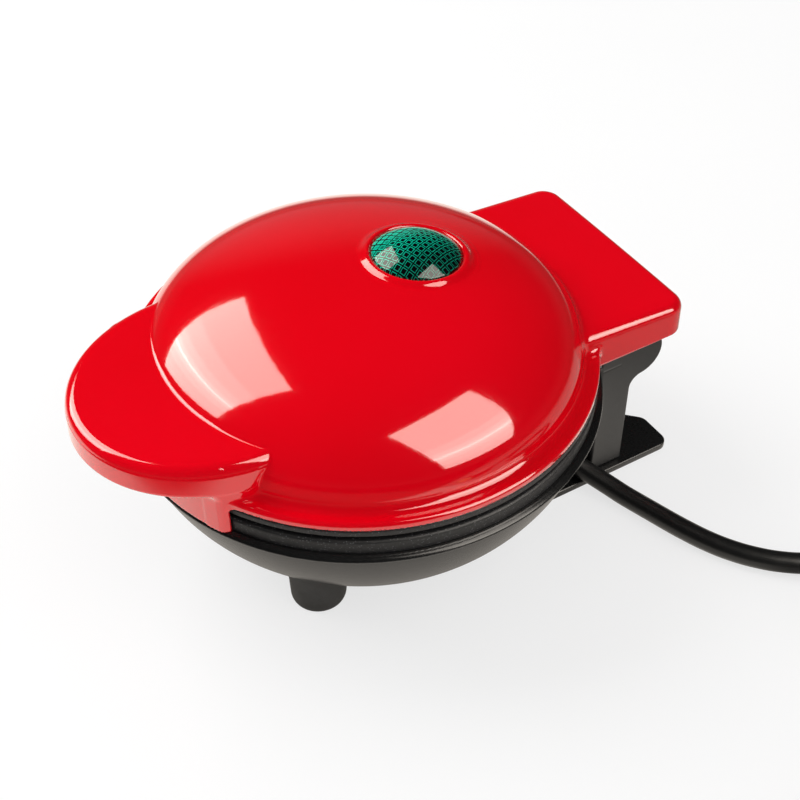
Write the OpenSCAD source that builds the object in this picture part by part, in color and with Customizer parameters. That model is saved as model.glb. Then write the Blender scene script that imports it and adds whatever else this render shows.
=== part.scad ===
// Mini waffle maker: a round hinged lid and a bowl-shaped base with cast plates, stood on two
// rubber feet and a flat rear foot plate. Closed at rest. +Z up, hinge at +Y, handle at -Y.
// Heights are above the table. Plan sizes are taken from the axis of the round plates.

/* [Rim] */
// Outside diameter of the lid's rim
rim_d = 127; // [122:0.5:134]
// Height of the lid's lower edge above the table
rim_z = 52; // [49:0.5:58]
// Gap between the two plates when closed
parting_gap = 1.5; // [1:0.1:2.5]

/* [Lid] */
// Thickness of the flange round the dome
flange_t = 2.3; // [1.8:0.1:3]
// Width of the flange outside the dome
flange_w = 4.5; // [3.5:0.1:6]
// Rise of the dome above the flange
dome_rise = 25.5; // [22:0.5:30]
// Fullness of the dome and bowl curves, 2 is an ellipse
dome_power = 2.26; // [2:0.02:2.6]
// Wall thickness of the lid's moulding
lid_t = 2.2; // [1.6:0.1:2.8]

/* [Handle] */
// Full width of the handle where it meets the dome
handle_w = 69; // [60:1:76]
// How far the handle stands out past the rim
handle_reach = 17; // [13:0.5:22]
// Distance from the rim in to the handle's widest line
handle_inset = 21.3; // [18:0.1:24]
// Height of the handle's flat top above the rim's lower edge
handle_top = 14; // [12:0.2:16]
// Thickness of the handle's outer wall, top to bottom
handle_h = 8.8; // [7:0.1:10]
// Thickness of the skirt under the handle
skirt_t = 1.6; // [1.2:0.1:2.4]
// Gap between the skirt and the plates' rims
skirt_gap = 0.5; // [0.4:0.05:1]
// Width of each leg at the skirt's ends
leg_t = 3.4; // [2.6:0.1:4.5]

/* [Hinge block] */
// Full width of the red block over the hinge
block_w = 67; // [60:1:70]
// How far the block reaches past the rim
block_reach = 22; // [19:0.5:24]
// Height of the block's top above the rim's lower edge, at its front
block_top_front = 8; // [7:0.1:9.5]
// Height of the block's top above the rim's lower edge, at its back
block_top_back = 5.2; // [4:0.1:6]
// Drop of the block's walls below the rim's lower edge
block_drop = 4.7; // [3:0.1:6]
// Corner radius of the block, seen from above
block_corner_r = 6; // [4:0.5:10]

/* [Hinge] */
// Distance of the hinge axis behind the rim
hinge_back = 8.8; // [8:0.1:9.6]
// Drop of the hinge axis below the rim's lower edge
hinge_drop = 10.4; // [9.5:0.1:11.5]
// Diameter of the hinge pins
pin_d = 4; // [3:0.1:5]
// Radial clearance of the pins in the lid's ears
pin_clearance = 0.06; // [0.03:0.01:0.1]
// Distance of each ear from the middle
ear_x = 21; // [18:0.5:22]
// Thickness of each ear
ear_t = 4; // [3:0.2:5]
// Radius of each ear's round end
ear_r = 6; // [5:0.1:6.4]
// Radius of the tower's round top, about the hinge axis
knuckle_r = 7.6; // [7.4:0.1:8.2]

/* [Plates] */
// Inset of the plates' rims from the lid's rim
plate_inset = 0.2; // [0.1:0.05:1]
// Thickness of the upper plate's rim
upper_rim_t = 2.5; // [2:0.1:4]
// Thickness of the lower plate's rim
lower_rim_t = 4.5; // [4:0.1:6]
// Width of the flat ring between the cooking well and the plate's edge
plate_land = 12.3; // [10:0.1:14]
// Depth of the well below the plate's rim
well_depth = 7; // [6:0.2:8]
// Thickness of the cast plate behind the well
casting_t = 2; // [1.6:0.1:2.6]
// Side of each square peg
peg_w = 7; // [5:0.2:8]
// Spacing of the pegs
peg_pitch = 11; // [10:0.2:13]
// Drop of the pegs' tips behind the plate's rim
peg_drop = 2.4; // [2.2:0.1:3]

/* [Bowl] */
// How far the bowl's rim bead stands out past the lid's rim
bead_out = 1.8; // [1.2:0.1:2.6]
// Height of the bowl's rim bead
bead_h = 1.6; // [1.2:0.1:2.4]
// Height of the bowl's flat bottom above the table
bowl_floor_z = 6; // [5:0.2:7]
// Depth to which the bowl's curve would run if it had no flat bottom
bowl_depth = 52; // [48:0.5:58]
// Fullness of the bowl's curve
bowl_power = 1.73; // [1.6:0.01:1.9]
// Wall thickness of the base moulding
base_t = 2.4; // [1.8:0.1:3]

/* [Tower] */
// Full width of the tower under the hinge block
tower_w = 61; // [56:1:61]
// Distance of the tower's back wall behind the rim
tower_back = 6.3; // [5.6:0.1:7]
// Depth of the tower from front to back
tower_depth = 11.5; // [10.5:0.1:13]
// Radius of the hollow under the tower's round top
tower_fillet_r = 4; // [3:0.2:5]

/* [Foot plate] */
// Full width of the rear foot plate
foot_plate_w = 65.4; // [60:0.2:72]
// How far the foot plate reaches forward from the rim, under the bowl
foot_plate_reach = 27.5; // [24:0.5:32]
// Thickness of the rear foot plate
foot_plate_t = 2.3; // [1.8:0.1:3]
// How far the foot plate's ears reach past the rim
ear_reach = 23; // [20:0.5:27]
// Depth of the notch between the foot plate's ears
notch_depth = 8.5; // [6:0.5:11]
// Half width of the notch at its mouth
notch_half_w = 20.5; // [16:0.5:23]

/* [Front feet] */
// Diameter of each front foot at its top
foot_d = 16.2; // [13:0.2:17]
// Diameter of each front foot on the table
foot_tip_d = 15.2; // [12:0.2:16]
// Distance of each front foot's middle from the rim, inward
foot_inset = 22.4; // [20:0.1:25]
// Angle of each front foot from the handle's side, in degrees
foot_angle = 41.5; // [38:0.1:46]

/* [Lens] */
// Diameter of the green lens
lens_d = 23.2; // [20:0.2:26]
// Distance of the lens behind the plate axis
lens_y = 17.1; // [15:0.1:19]
// Diameter of the raised ring at its foot
bezel_d = 29.8; // [28:0.2:33]
// Height of the raised ring above the dome
bezel_h = 1; // [0.6:0.1:1.6]
// Tilt of the lens toward the hinge, in degrees
lens_tilt = 5; // [3:0.5:7]

/* [Heating] */
// Distance of the element's loop from the well's wall, inward
element_inset = 15; // [14:0.5:18]
// Diameter of the element's tube
element_d = 6.6; // [6:0.1:7]
// Thickness of the heat shields
shield_t = 0.8; // [0.5:0.1:1.2]

/* [Cord] */
// Diameter of the supply cord
cord_d = 6; // [5.4:0.1:6.4]
// Length of the strain relief outside its boss
relief_l = 24; // [20:1:28]
// Diameter of the strain relief at its root
relief_d = 9.4; // [8.6:0.1:10]

/* [Hidden] */
$fn = 96;

// Clearance between pieces that fit together without moving
fit = 0.05;
// Clearance between pieces that move past each other
running = 0.5;
// Overlap that makes a cut or a joint clean
eps = 0.01;
// Length longer than any cut needs
far = 200;

// Heights and radii that follow from the sizes above
rim_r = rim_d / 2;
dome_r = rim_r - flange_w;
flange_z = rim_z + flange_t;
upper_plate_z = rim_z - upper_rim_t;
lower_plate_z = upper_plate_z - parting_gap;
bowl_rim_z = lower_plate_z - lower_rim_t;
plate_r = rim_r - plate_inset;
well_r = plate_r - plate_land;
handle_tip = rim_r + handle_reach;
handle_root = rim_r - handle_inset;
handle_len = handle_tip - handle_root;
handle_z = rim_z + handle_top;
handle_under_z = handle_z - handle_h;
skirt_in_r = plate_r + skirt_gap;
skirt_out_r = skirt_in_r + skirt_t;
skirt_z = bowl_rim_z + 0.4;
leg_out_r = skirt_out_r + 0.7;
block_back = rim_r + block_reach;
block_z = rim_z - block_drop;
hinge_y = rim_r + hinge_back;
hinge_z = rim_z - hinge_drop;
ear_top_z = rim_z + 4;
tower_back_y = rim_r + tower_back;
tower_front_y = tower_back_y - tower_depth;
tower_fillet_y = tower_back_y + tower_fillet_r;
tower_fillet_z = hinge_z
    - sqrt(pow(knuckle_r + tower_fillet_r, 2) - pow(tower_fillet_y - hinge_y, 2));
tower_clear_r = plate_r + 2.5;
bead_r = rim_r + bead_out;
bowl_r = rim_r;
bowl_inner_z = bowl_floor_z + base_t;
foot_plate_back = rim_r + ear_reach;
foot_plate_front = rim_r - foot_plate_reach;
// The plate axis lies behind the middle of the object's length by this much
axis_y = (handle_tip - foot_plate_back) / 2;

// Screws
screw_hole_r = 1.25;
screw_clear_r = 1.6;
screw_tip_gap = 0.4;
screw_head_r = 2.8;
screw_head_h = 1.5;
pan_head_h = 1.2;
shield_screw_l = 6.5;
upper_screw_r = dome_r - 2;
lower_screw_inset = 4.6;
lower_screw_r = rim_r - lower_screw_inset;
plate_screw_angles = [30, 150, 270];
upper_screw_grip = 5.5;
upper_screw_l = upper_rim_t + upper_screw_grip;
lower_screw_grip = 6;
lower_screw_l = lower_rim_t + lower_screw_grip;
plate_boss_r = 3;
lower_boss_h = lower_screw_grip + 4;

// Backs of the cast plates
upper_back_z = upper_plate_z + well_depth + casting_t;
lower_back_z = lower_plate_z - well_depth - casting_t;
peg_count = 9;
element_r = element_d / 2;
element_loop_r = well_r - element_inset;
element_gap_deg = 20;
element_pin_deg = element_gap_deg / 2 + 4;
element_pin_r = 1.2;
element_pin_l = element_r + 1.2;
rib_h = element_r + 0.1;
rib_half_w = element_r + 1.2;
post_r = 2.6;
upper_post_ring_r = element_loop_r + 6.5;
upper_shield_z = upper_back_z + 8.6;
lower_shield_z = lower_back_z - 11;
lower_post_ring_r = element_loop_r + 9.5;
upper_shield_r = upper_post_ring_r + 3.6;
lower_shield_r = lower_post_ring_r + 4;
post_angles = [60, 180, 300];

// Lens and lamp, along the lens's own tilted axis
lens_r = lens_d / 2;
lens_seat = 1;
lens_stem_r = lens_r - 1.3;
lens_stem_l = 5.8;
lens_edge = 0.6;
lens_crown = 4.2;
lens_clip_t = 0.8;
lens_top_z = flange_z + dome_rise * pow(1 - pow(lens_y / dome_r, dome_power), 1 / dome_power);
lamp_r = 3;
lamp_l = 3.5;

// Front feet
foot_x = (rim_r - foot_inset) * sin(foot_angle);
foot_y = (rim_r - foot_inset) * cos(foot_angle);
foot_pocket_z = 14.5;
foot_socket_t = 2;
foot_stem_r = 2;
foot_barb_r = foot_stem_r + 0.5;

// Hinge pins: one on each side, through an ear
pin_web_t = 3;
pin_inner_x = ear_x - ear_t / 2 - running - pin_web_t / 2;
pin_outer_x = tower_w / 2 - 1.2;
pin_l = pin_outer_x - pin_inner_x + pin_web_t - 1;

// Leads and their sleeves, and the ways through the dome's wall, the bowl's wall and the tower's top
wire_r = 1;
sleeve_r = 1.3;
lead_gap = 1.7;
supply_x = -5.5;
lead_window_w = 16;
lead_window_z = bowl_rim_z - 15;
lead_slot_w = 2 * (lead_gap + sleeve_r + running);

// Foot plate screws: two under the tower and two under the bowl
tower_screw_x = 20;
tower_screw_y = tower_front_y + tower_depth / 2;
bowl_screw_x = 16;
bowl_screw_y = foot_plate_front + 4;
foot_screw_l = 8;

// Cord outlet in front of the tower. The cord's points are in the part's own frame.
cord_r = cord_d / 2;
relief_r = relief_d / 2;
relief_tip_r = cord_r + 0.6;
relief_neck_r = relief_r - 1.2;
relief_neck_l = 2.5;
outlet_l = 9;
outlet_wall = 1.6;

// Cord route from the tip of the strain relief, each point [x, y, z]
cord_route = [
    [21, 50, 8], [24, 50, 8], [27, 50.5, 7.3], [30, 51.5, 6.3], [33, 52.8, 5.5], [36, 54.1, 4.9],
    [40, 55.8, 4.1], [44, 57.3, 3.5], [48, 58.8, 3.2], [53, 60.5, 3.1], [58, 62.1, 3.1],
    [64, 64.2, 3.1], [70, 66.7, 3.1], [76, 70, 3.1], [82, 74.4, 3.2], [87, 79.4, 3.3],
    [91, 84.8, 3.5], [94, 90.6, 3.7], [96, 97, 3.9], [97, 104, 3.9], [97, 111, 3.9]];
cord_sides = 10;
outlet_x = cord_route[0][0] - relief_l;
outlet_y = tower_front_y - relief_r - 0.6;
outlet_z = cord_route[0][2];
cord_shift = outlet_y + axis_y - cord_route[0][1];

// Coil of the length that is put away: two turns side by side and one on top, raised by the
// tie's lower strand, and the end that runs from its top turn to the plug
coil_centre = [133, 111];
coil_lower_r = [30, 36];
coil_upper_r = 33;
coil_z = 0.9;
coil_upper_z = 9.1;
tie_t = 0.8;
tie_w = 10;
tie_angle = 40;
cord_tail_route = [
    [166, 111, 9.1], [166.2, 105, 9.5], [166.8, 99, 10], [167.6, 93, 9.9], [168.6, 87, 9.2],
    [169.4, 81, 8.5], [170, 75, 8], [170, 70, 8]];

// Plug with two flat blades
plug_l = 36;
plug_w = 26;
plug_h = 15;
plug_nose_l = 12;
blade_l = 17.5;
blade_w = 6.3;
blade_t = 1.5;
blade_gap = 12.7;

// Curve of a dome or bowl from its edge to its middle: a superellipse in the half plane
curve_steps = 24;
function curve(r, h, power, z, up) = [
    for (i = [0:curve_steps])
        let (a = 90 * i / curve_steps)
        [r * pow(cos(a), 2 / power), z + up * h * pow(sin(a), 2 / power)]];

// Radius of the bowl's curve at a height
function bowl_radius(z, r, h) = r * pow(1 - pow((bowl_rim_z - z) / h, bowl_power), 1 / bowl_power);

// Half ellipse of the handle, drawn inward by an inset, from its root toward -Y
handle_steps = 36;
function handle_outline(inset) = concat(
    [[-handle_w / 2 + inset, -handle_root + 6]],
    [for (i = [0:handle_steps])
        let (a = 180 - 180 * i / handle_steps)
        [(handle_w / 2 - inset) * cos(a), -handle_root - (handle_len - inset) * sin(a)]],
    [[handle_w / 2 - inset, -handle_root + 6]]);

// Places its children on the plates' axis
module at_axis() {
    translate([0, axis_y, 0]) children();
}

// Moves the cord and what is on it with the outlet
module at_outlet() {
    translate([0, cord_shift, 0]) children();
}

// Extrudes a drawing of the side view, [y, z], across the width
module across(width) {
    translate([-width / 2, 0, 0])
        rotate([90, 0, 90])
            linear_extrude(width) children();
}

// Copies its children round the axis
module around(angles) {
    for (a = angles) rotate([0, 0, a]) children();
}

// Flat ring
module ring(outer_r, inner_r, z0, z1) {
    translate([0, 0, z0])
        difference() {
            cylinder(r = outer_r, h = z1 - z0);
            translate([0, 0, -eps]) cylinder(r = inner_r, h = z1 - z0 + 2 * eps);
        }
}

// Countersunk screw pointing up from z = 0, with a cross slot in its head
module screw(length) {
    difference() {
        union() {
            cylinder(r1 = screw_head_r, r2 = screw_hole_r, h = screw_head_h, $fn = 32);
            cylinder(r = screw_hole_r - fit, h = length, $fn = 32);
        }
        for (a = [0, 90])
            rotate([0, 0, a])
                translate([-screw_head_r * 0.55, -0.35, -eps])
                    cube([screw_head_r * 1.1, 0.7, 0.8]);
    }
}

// Room for that screw in the piece its head sits in
module screw_seat(depth) {
    translate([0, 0, -eps]) cylinder(r = screw_clear_r, h = depth + 2 * eps, $fn = 32);
    translate([0, 0, -eps])
        cylinder(r1 = screw_head_r + fit, r2 = screw_hole_r + fit, h = screw_head_h + fit, $fn = 32);
}

// ---- Lid ----

// Inside of the dome
module dome_cavity() {
    rotate_extrude()
        polygon(concat([[0, rim_z - eps], [dome_r - lid_t, rim_z - eps]],
            curve(dome_r - lid_t, dome_rise - lid_t, dome_power, flange_z, 1)));
}

// Outside of the dome with its flange
module dome_body() {
    rotate_extrude()
        polygon(concat([[0, rim_z], [rim_r, rim_z], [rim_r, flange_z]],
            curve(dome_r, dome_rise, dome_power, flange_z, 1)));
}

// Raised ring round the lens, on the lens's own axis
module at_lens() {
    translate([0, lens_y, lens_top_z]) rotate([-lens_tilt, 0, 0]) children();
}

module bezel() {
    translate([0, 0, -lens_seat - 2])
        cylinder(r1 = bezel_d / 2 + 1, r2 = lens_r + 1.4, h = lens_seat + 2 + bezel_h);
}

// Handle and its skirt
module handle_body(inset, z0, z1) {
    translate([0, 0, z0]) linear_extrude(z1 - z0) polygon(handle_outline(inset));
}

module handle() {
    difference() {
        handle_body(0, handle_under_z, handle_z);
        handle_body(lid_t, handle_under_z - eps, handle_z - lid_t);
    }
}

module skirt() {
    intersection() {
        handle_body(0, skirt_z, handle_z - lid_t / 2);
        union() {
            ring(skirt_out_r, skirt_in_r, skirt_z, handle_z);
            ring(skirt_out_r, rim_r - 0.5, rim_z, handle_z);
        }
    }
}

module legs() {
    intersection() {
        difference() {
            handle_body(0, skirt_z, handle_z - lid_t / 2);
            handle_body(leg_t, skirt_z - eps, handle_z);
        }
        ring(leg_out_r, skirt_in_r, skirt_z, handle_z);
    }
}

// Ends of the handle's side walls that close down onto the flange
module cheeks() {
    intersection() {
        difference() {
            handle_body(0, flange_z - flange_t / 2, handle_z - lid_t / 2);
            handle_body(leg_t, rim_z, handle_z);
        }
        cylinder(r = skirt_in_r + eps, h = far);
    }
}

// Hinge block: plan and side view, drawn inward by an inset
block_front = rim_r - 21.5;
module block_body(inset) {
    r = block_corner_r - inset;
    w = block_w / 2 - inset;
    back = block_back - inset;
    slope = (block_top_front - block_top_back) / (block_back - block_front);
    intersection() {
        translate([0, 0, block_z - 1])
            linear_extrude(far / 4) {
                translate([-w, block_front]) square([2 * w, back - r - block_front]);
                translate([-w + r, block_front]) square([2 * (w - r), back - block_front]);
                for (side = [-1, 1]) translate([side * (w - r), back - r]) circle(r);
            }
        across(2 * far)
            polygon([[block_front - 1, block_z - inset / far], [block_back + 1, block_z - inset / far],
                [block_back + 1, rim_z + block_top_back - inset - slope],
                [block_front - 1, rim_z + block_top_front - inset + slope]]);
    }
}

module hinge_block() {
    difference() {
        block_body(0);
        translate([0, 0, -eps]) block_body(lid_t - 0.2);
        translate([0, 0, block_z - 1]) cylinder(r = skirt_in_r, h = block_drop + 1);
    }
}

module hinge_ear() {
    across(ear_t) union() {
        translate([hinge_y, hinge_z]) circle(ear_r);
        translate([hinge_y - ear_r, hinge_z]) square([2 * ear_r, ear_top_z - hinge_z]);
    }
}

module pin_hole(x, r, length) {
    translate([x, hinge_y, hinge_z]) rotate([0, 90, 0]) cylinder(r = r, h = length);
}

module upper_bosses() {
    intersection() {
        around(plate_screw_angles)
            translate([upper_screw_r, 0, rim_z])
                cylinder(r = plate_boss_r, h = upper_screw_grip + screw_hole_r);
        dome_body();
    }
}

module upper_housing() {
    color("crimson")
    difference() {
        union() {
            difference() {
                union() {
                    dome_body();
                    at_lens() bezel();
                    handle();
                    skirt();
                    legs();
                    cheeks();
                    hinge_block();
                }
                dome_cavity();
            }
            for (side = [-1, 1]) translate([side * ear_x, 0, 0]) hinge_ear();
            upper_bosses();
        }
        around(plate_screw_angles)
            translate([upper_screw_r, 0, rim_z - eps])
                cylinder(r = screw_hole_r, h = upper_screw_grip + screw_tip_gap, $fn = 32);
        pin_hole(-ear_x - ear_t, pin_d / 2 + pin_clearance, 2 * ear_t);
        pin_hole(ear_x - ear_t, pin_d / 2 + pin_clearance, 2 * ear_t);
        at_lens() translate([0, 0, -far / 8]) cylinder(r = lens_stem_r + 0.2, h = far / 4);
        at_lens() translate([0, 0, bezel_h - lens_seat]) cylinder(r = lens_r + 0.2, h = far / 8);
        translate([-lead_slot_w / 2, rim_r - 9, flange_z]) cube([lead_slot_w, 9, 3]);
    }
}

module lens() {
    color([0.02, 0.45, 0.3, 0.8])
    at_lens()
        difference() {
            union() {
                translate([0, 0, bezel_h - lens_seat]) cylinder(r = lens_r, h = lens_edge);
                intersection() {
                    lens_cap();
                    translate([0, 0, bezel_h - lens_seat]) cylinder(r = lens_r, h = far / 8);
                }
                translate([0, 0, bezel_h - lens_seat - lens_stem_l])
                    cylinder(r = lens_stem_r, h = lens_stem_l + eps);
            }
            translate([0, 0, bezel_h - lens_seat - lens_stem_l - eps])
                cylinder(r = lens_stem_r - 1.4, h = lens_stem_l);
        }
}

// Ball that crowns the lens
module lens_cap() {
    cap_r = (pow(lens_r, 2) + pow(lens_crown, 2)) / (2 * lens_crown);
    translate([0, 0, bezel_h - lens_seat + lens_edge + lens_crown - cap_r]) sphere(r = cap_r);
}

lens_inner_z = bezel_h - lens_seat - lens_stem_l;
module lens_clip() {
    color("silver")
    at_lens() translate([0, 0, lens_inner_z + 0.6])
        difference() {
            cylinder(r = lens_stem_r + 2.6, h = lens_clip_t);
            translate([0, 0, -eps]) cylinder(r = lens_stem_r + fit, h = lens_clip_t + 2 * eps);
        }
}

module lamp_holder() {
    color("ivory")
    at_lens()
        difference() {
            union() {
                translate([0, 0, lens_inner_z - 1.2]) cylinder(r = lens_stem_r, h = 1.2 - fit);
                translate([0, 0, lens_inner_z - 3]) cylinder(r = lamp_r + 1.4, h = 3);
            }
            translate([0, 0, lens_inner_z - 4]) cylinder(r = lamp_r + fit, h = 5);
        }
}

module lamp() {
    color([1, 0.6, 0.3, 0.6])
    at_lens() translate([0, 0, lens_inner_z - 3]) {
        cylinder(r = lamp_r, h = lamp_l);
        translate([0, 0, lamp_l]) sphere(r = lamp_r);
    }
}

// ---- Plates ----

// Grid of square pegs inside the well, from z0 up
module pegs(z0, h) {
    half = (peg_count - 1) / 2;
    for (i = [-half:half], j = [-half:half])
        if (norm([abs(i) * peg_pitch + peg_w / 2, abs(j) * peg_pitch + peg_w / 2]) < well_r - 1.5)
            translate([i * peg_pitch - peg_w / 2, j * peg_pitch - peg_w / 2, z0]) cube([peg_w, peg_w, h]);
}

// Cast plate with its rim's face at z = 0, its well above, and its back up
module cast_plate(rim_t, post_ring_r, post_l) {
    back = well_depth + casting_t;
    union() {
        difference() {
            union() {
                cylinder(r = plate_r, h = rim_t);
                cylinder(r = well_r + casting_t, h = back);
                ring(element_loop_r + rib_half_w, element_loop_r - rib_half_w, back - eps, back + rib_h);
                around(post_angles)
                    translate([post_ring_r, 0, back - eps]) cylinder(r = post_r, h = post_l + eps);
            }
            translate([0, 0, -eps]) cylinder(r = well_r, h = well_depth + eps);
            translate([0, 0, back + element_r + fit])
                rotate_extrude() translate([element_loop_r, 0]) circle(element_r + fit);
            around(post_angles)
                translate([post_ring_r, 0, back + post_l - shield_screw_l])
                    cylinder(r = screw_hole_r, h = shield_screw_l + eps, $fn = 32);
        }
        pegs(peg_drop, well_depth - peg_drop + eps);
    }
}

module upper_plate() {
    color("dimgray")
    translate([0, 0, upper_plate_z])
        difference() {
            cast_plate(upper_rim_t, upper_post_ring_r, upper_shield_z - upper_back_z);
            around(plate_screw_angles)
                translate([upper_screw_r, 0, 0]) screw_seat(upper_rim_t);
        }
}

module lower_plate() {
    color("dimgray")
    translate([0, 0, lower_plate_z]) mirror([0, 0, 1])
        difference() {
            cast_plate(lower_rim_t, lower_post_ring_r, lower_back_z - lower_shield_z);
            around(plate_screw_angles)
                translate([lower_screw_r, 0, 0]) screw_seat(lower_rim_t);
        }
}

module upper_plate_screws() {
    color("silver")
    around(plate_screw_angles)
        translate([upper_screw_r, 0, upper_plate_z]) screw(upper_screw_l);
}

module lower_plate_screws() {
    color("silver")
    around(plate_screw_angles)
        translate([lower_screw_r, 0, lower_plate_z]) mirror([0, 0, 1]) screw(lower_screw_l);
}

// Loop of tube on the back of a plate, back at z = 0, with its two cold pins turned up
module element() {
    rotate([0, 0, 90 + element_gap_deg / 2])
        rotate_extrude(angle = 360 - element_gap_deg)
            translate([element_loop_r, 0]) circle(element_r, $fn = 32);
    for (side = [-1, 1])
        rotate([0, 0, 90 + side * element_pin_deg])
            translate([element_loop_r, 0, 0])
                cylinder(r = element_pin_r, h = element_pin_l, $fn = 32);
}

module upper_element() {
    color("slategray") translate([0, 0, upper_back_z + element_r + fit]) element();
}

module lower_element() {
    color("slategray") translate([0, 0, lower_back_z - element_r - fit]) mirror([0, 0, 1]) element();
}

// Thin pan behind a plate, seated on the posts at z = 0, its rim turned toward the plate
module shield(r, ring_r, hole_r) {
    difference() {
        union() {
            cylinder(r = r, h = shield_t);
            ring(r, r - shield_t, -3, shield_t);
        }
        translate([0, 0, -eps]) cylinder(r = hole_r, h = shield_t + 2 * eps);
        around(post_angles)
            translate([ring_r, 0, -eps]) cylinder(r = screw_hole_r + fit, h = shield_t + 2 * eps, $fn = 32);
    }
}

module shield_screws(ring_r) {
    around(post_angles)
        translate([ring_r, 0, shield_t + fit]) {
            cylinder(r = screw_head_r, h = pan_head_h, $fn = 32);
            translate([0, 0, -shield_screw_l]) cylinder(r = screw_hole_r - fit, h = shield_screw_l + eps, $fn = 32);
        }
}

module upper_reflector() {
    color("gainsboro") translate([0, 0, upper_shield_z + fit])
        shield(upper_shield_r, upper_post_ring_r, 4);
}

module lower_reflector() {
    color("gainsboro") translate([0, 0, lower_shield_z - fit]) mirror([0, 0, 1])
        shield(lower_shield_r, lower_post_ring_r, 12);
}

module upper_reflector_screws() {
    color("silver") translate([0, 0, upper_shield_z + fit]) shield_screws(upper_post_ring_r);
}

module lower_reflector_screws() {
    color("silver") translate([0, 0, lower_shield_z - fit]) mirror([0, 0, 1]) shield_screws(lower_post_ring_r);
}

// ---- Base ----

module bowl_solid(r, h, z0) {
    intersection() {
        rotate_extrude() polygon(concat([[0, bowl_rim_z]], curve(r, h, bowl_power, bowl_rim_z, -1)));
        translate([0, 0, z0]) cylinder(r = far, h = far);
    }
}

// Side view of the tower, drawn inward by an inset
module tower_side(inset) {
    front = tower_front_y + inset;
    difference() {
        union() {
            translate([front, foot_plate_t]) square([tower_fillet_y - front, hinge_z - foot_plate_t]);
            translate([front, hinge_z - eps]) square([hinge_y - front, knuckle_r - inset + eps]);
        }
        translate([tower_back_y - inset, 0]) square([far, tower_fillet_z]);
        translate([tower_fillet_y, tower_fillet_z]) circle(tower_fillet_r + inset);
    }
    translate([hinge_y, hinge_z]) circle(knuckle_r - inset);
}

module tower_shell() {
    difference() {
        across(tower_w) tower_side(0);
        difference() {
            translate([0, 0, -eps]) across(tower_w - 2 * base_t) tower_side(base_t);
            cylinder(r = tower_clear_r + base_t, h = far);
        }
        difference() {
            translate([0, 0, -eps]) across(tower_w - 2 * base_t) tower_side(base_t);
            translate([0, 0, bowl_rim_z - base_t]) cylinder(r = far, h = far);
        }
        translate([0, 0, bowl_rim_z]) cylinder(r = tower_clear_r, h = far);
    }
}

// Supports of the hinge pins inside the tower
module pin_supports() {
    intersection() {
        across(tower_w - base_t) tower_side(base_t / 2);
        difference() {
            union() {
                for (side = [-1, 1]) {
                    translate([side * pin_inner_x - pin_web_t / 2, tower_front_y, hinge_z - 9])
                        cube([pin_web_t, far / 4, far / 4]);
                    translate([side * (tower_w / 2 - base_t) - 2.2, tower_front_y, hinge_z - 9])
                        cube([4.4, far / 4, far / 4]);
                }
            }
            translate([0, 0, bowl_rim_z - eps]) cylinder(r = tower_clear_r, h = far);
        }
    }
}

// Slots in the tower that the lid's ears swing through
module ear_slots() {
    for (side = [-1, 1])
        translate([side * ear_x - ear_t / 2 - running, hinge_y - ear_r - running, hinge_z - 8.4])
            cube([ear_t + 2 * running, far / 4, far / 4]);
}

module outlet_boss() {
    h = relief_neck_r + outlet_wall;
    translate([outlet_x - outlet_l, outlet_y - h, foot_plate_t])
        cube([outlet_l, tower_front_y - outlet_y + h + base_t / 2, outlet_z - foot_plate_t + h]);
}

module foot_socket_solid() {
    for (side = [-1, 1])
        translate([side * foot_x, -foot_y, bowl_floor_z])
            cylinder(r = foot_d / 2 + base_t, h = foot_pocket_z + foot_socket_t - bowl_floor_z);
}

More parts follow.
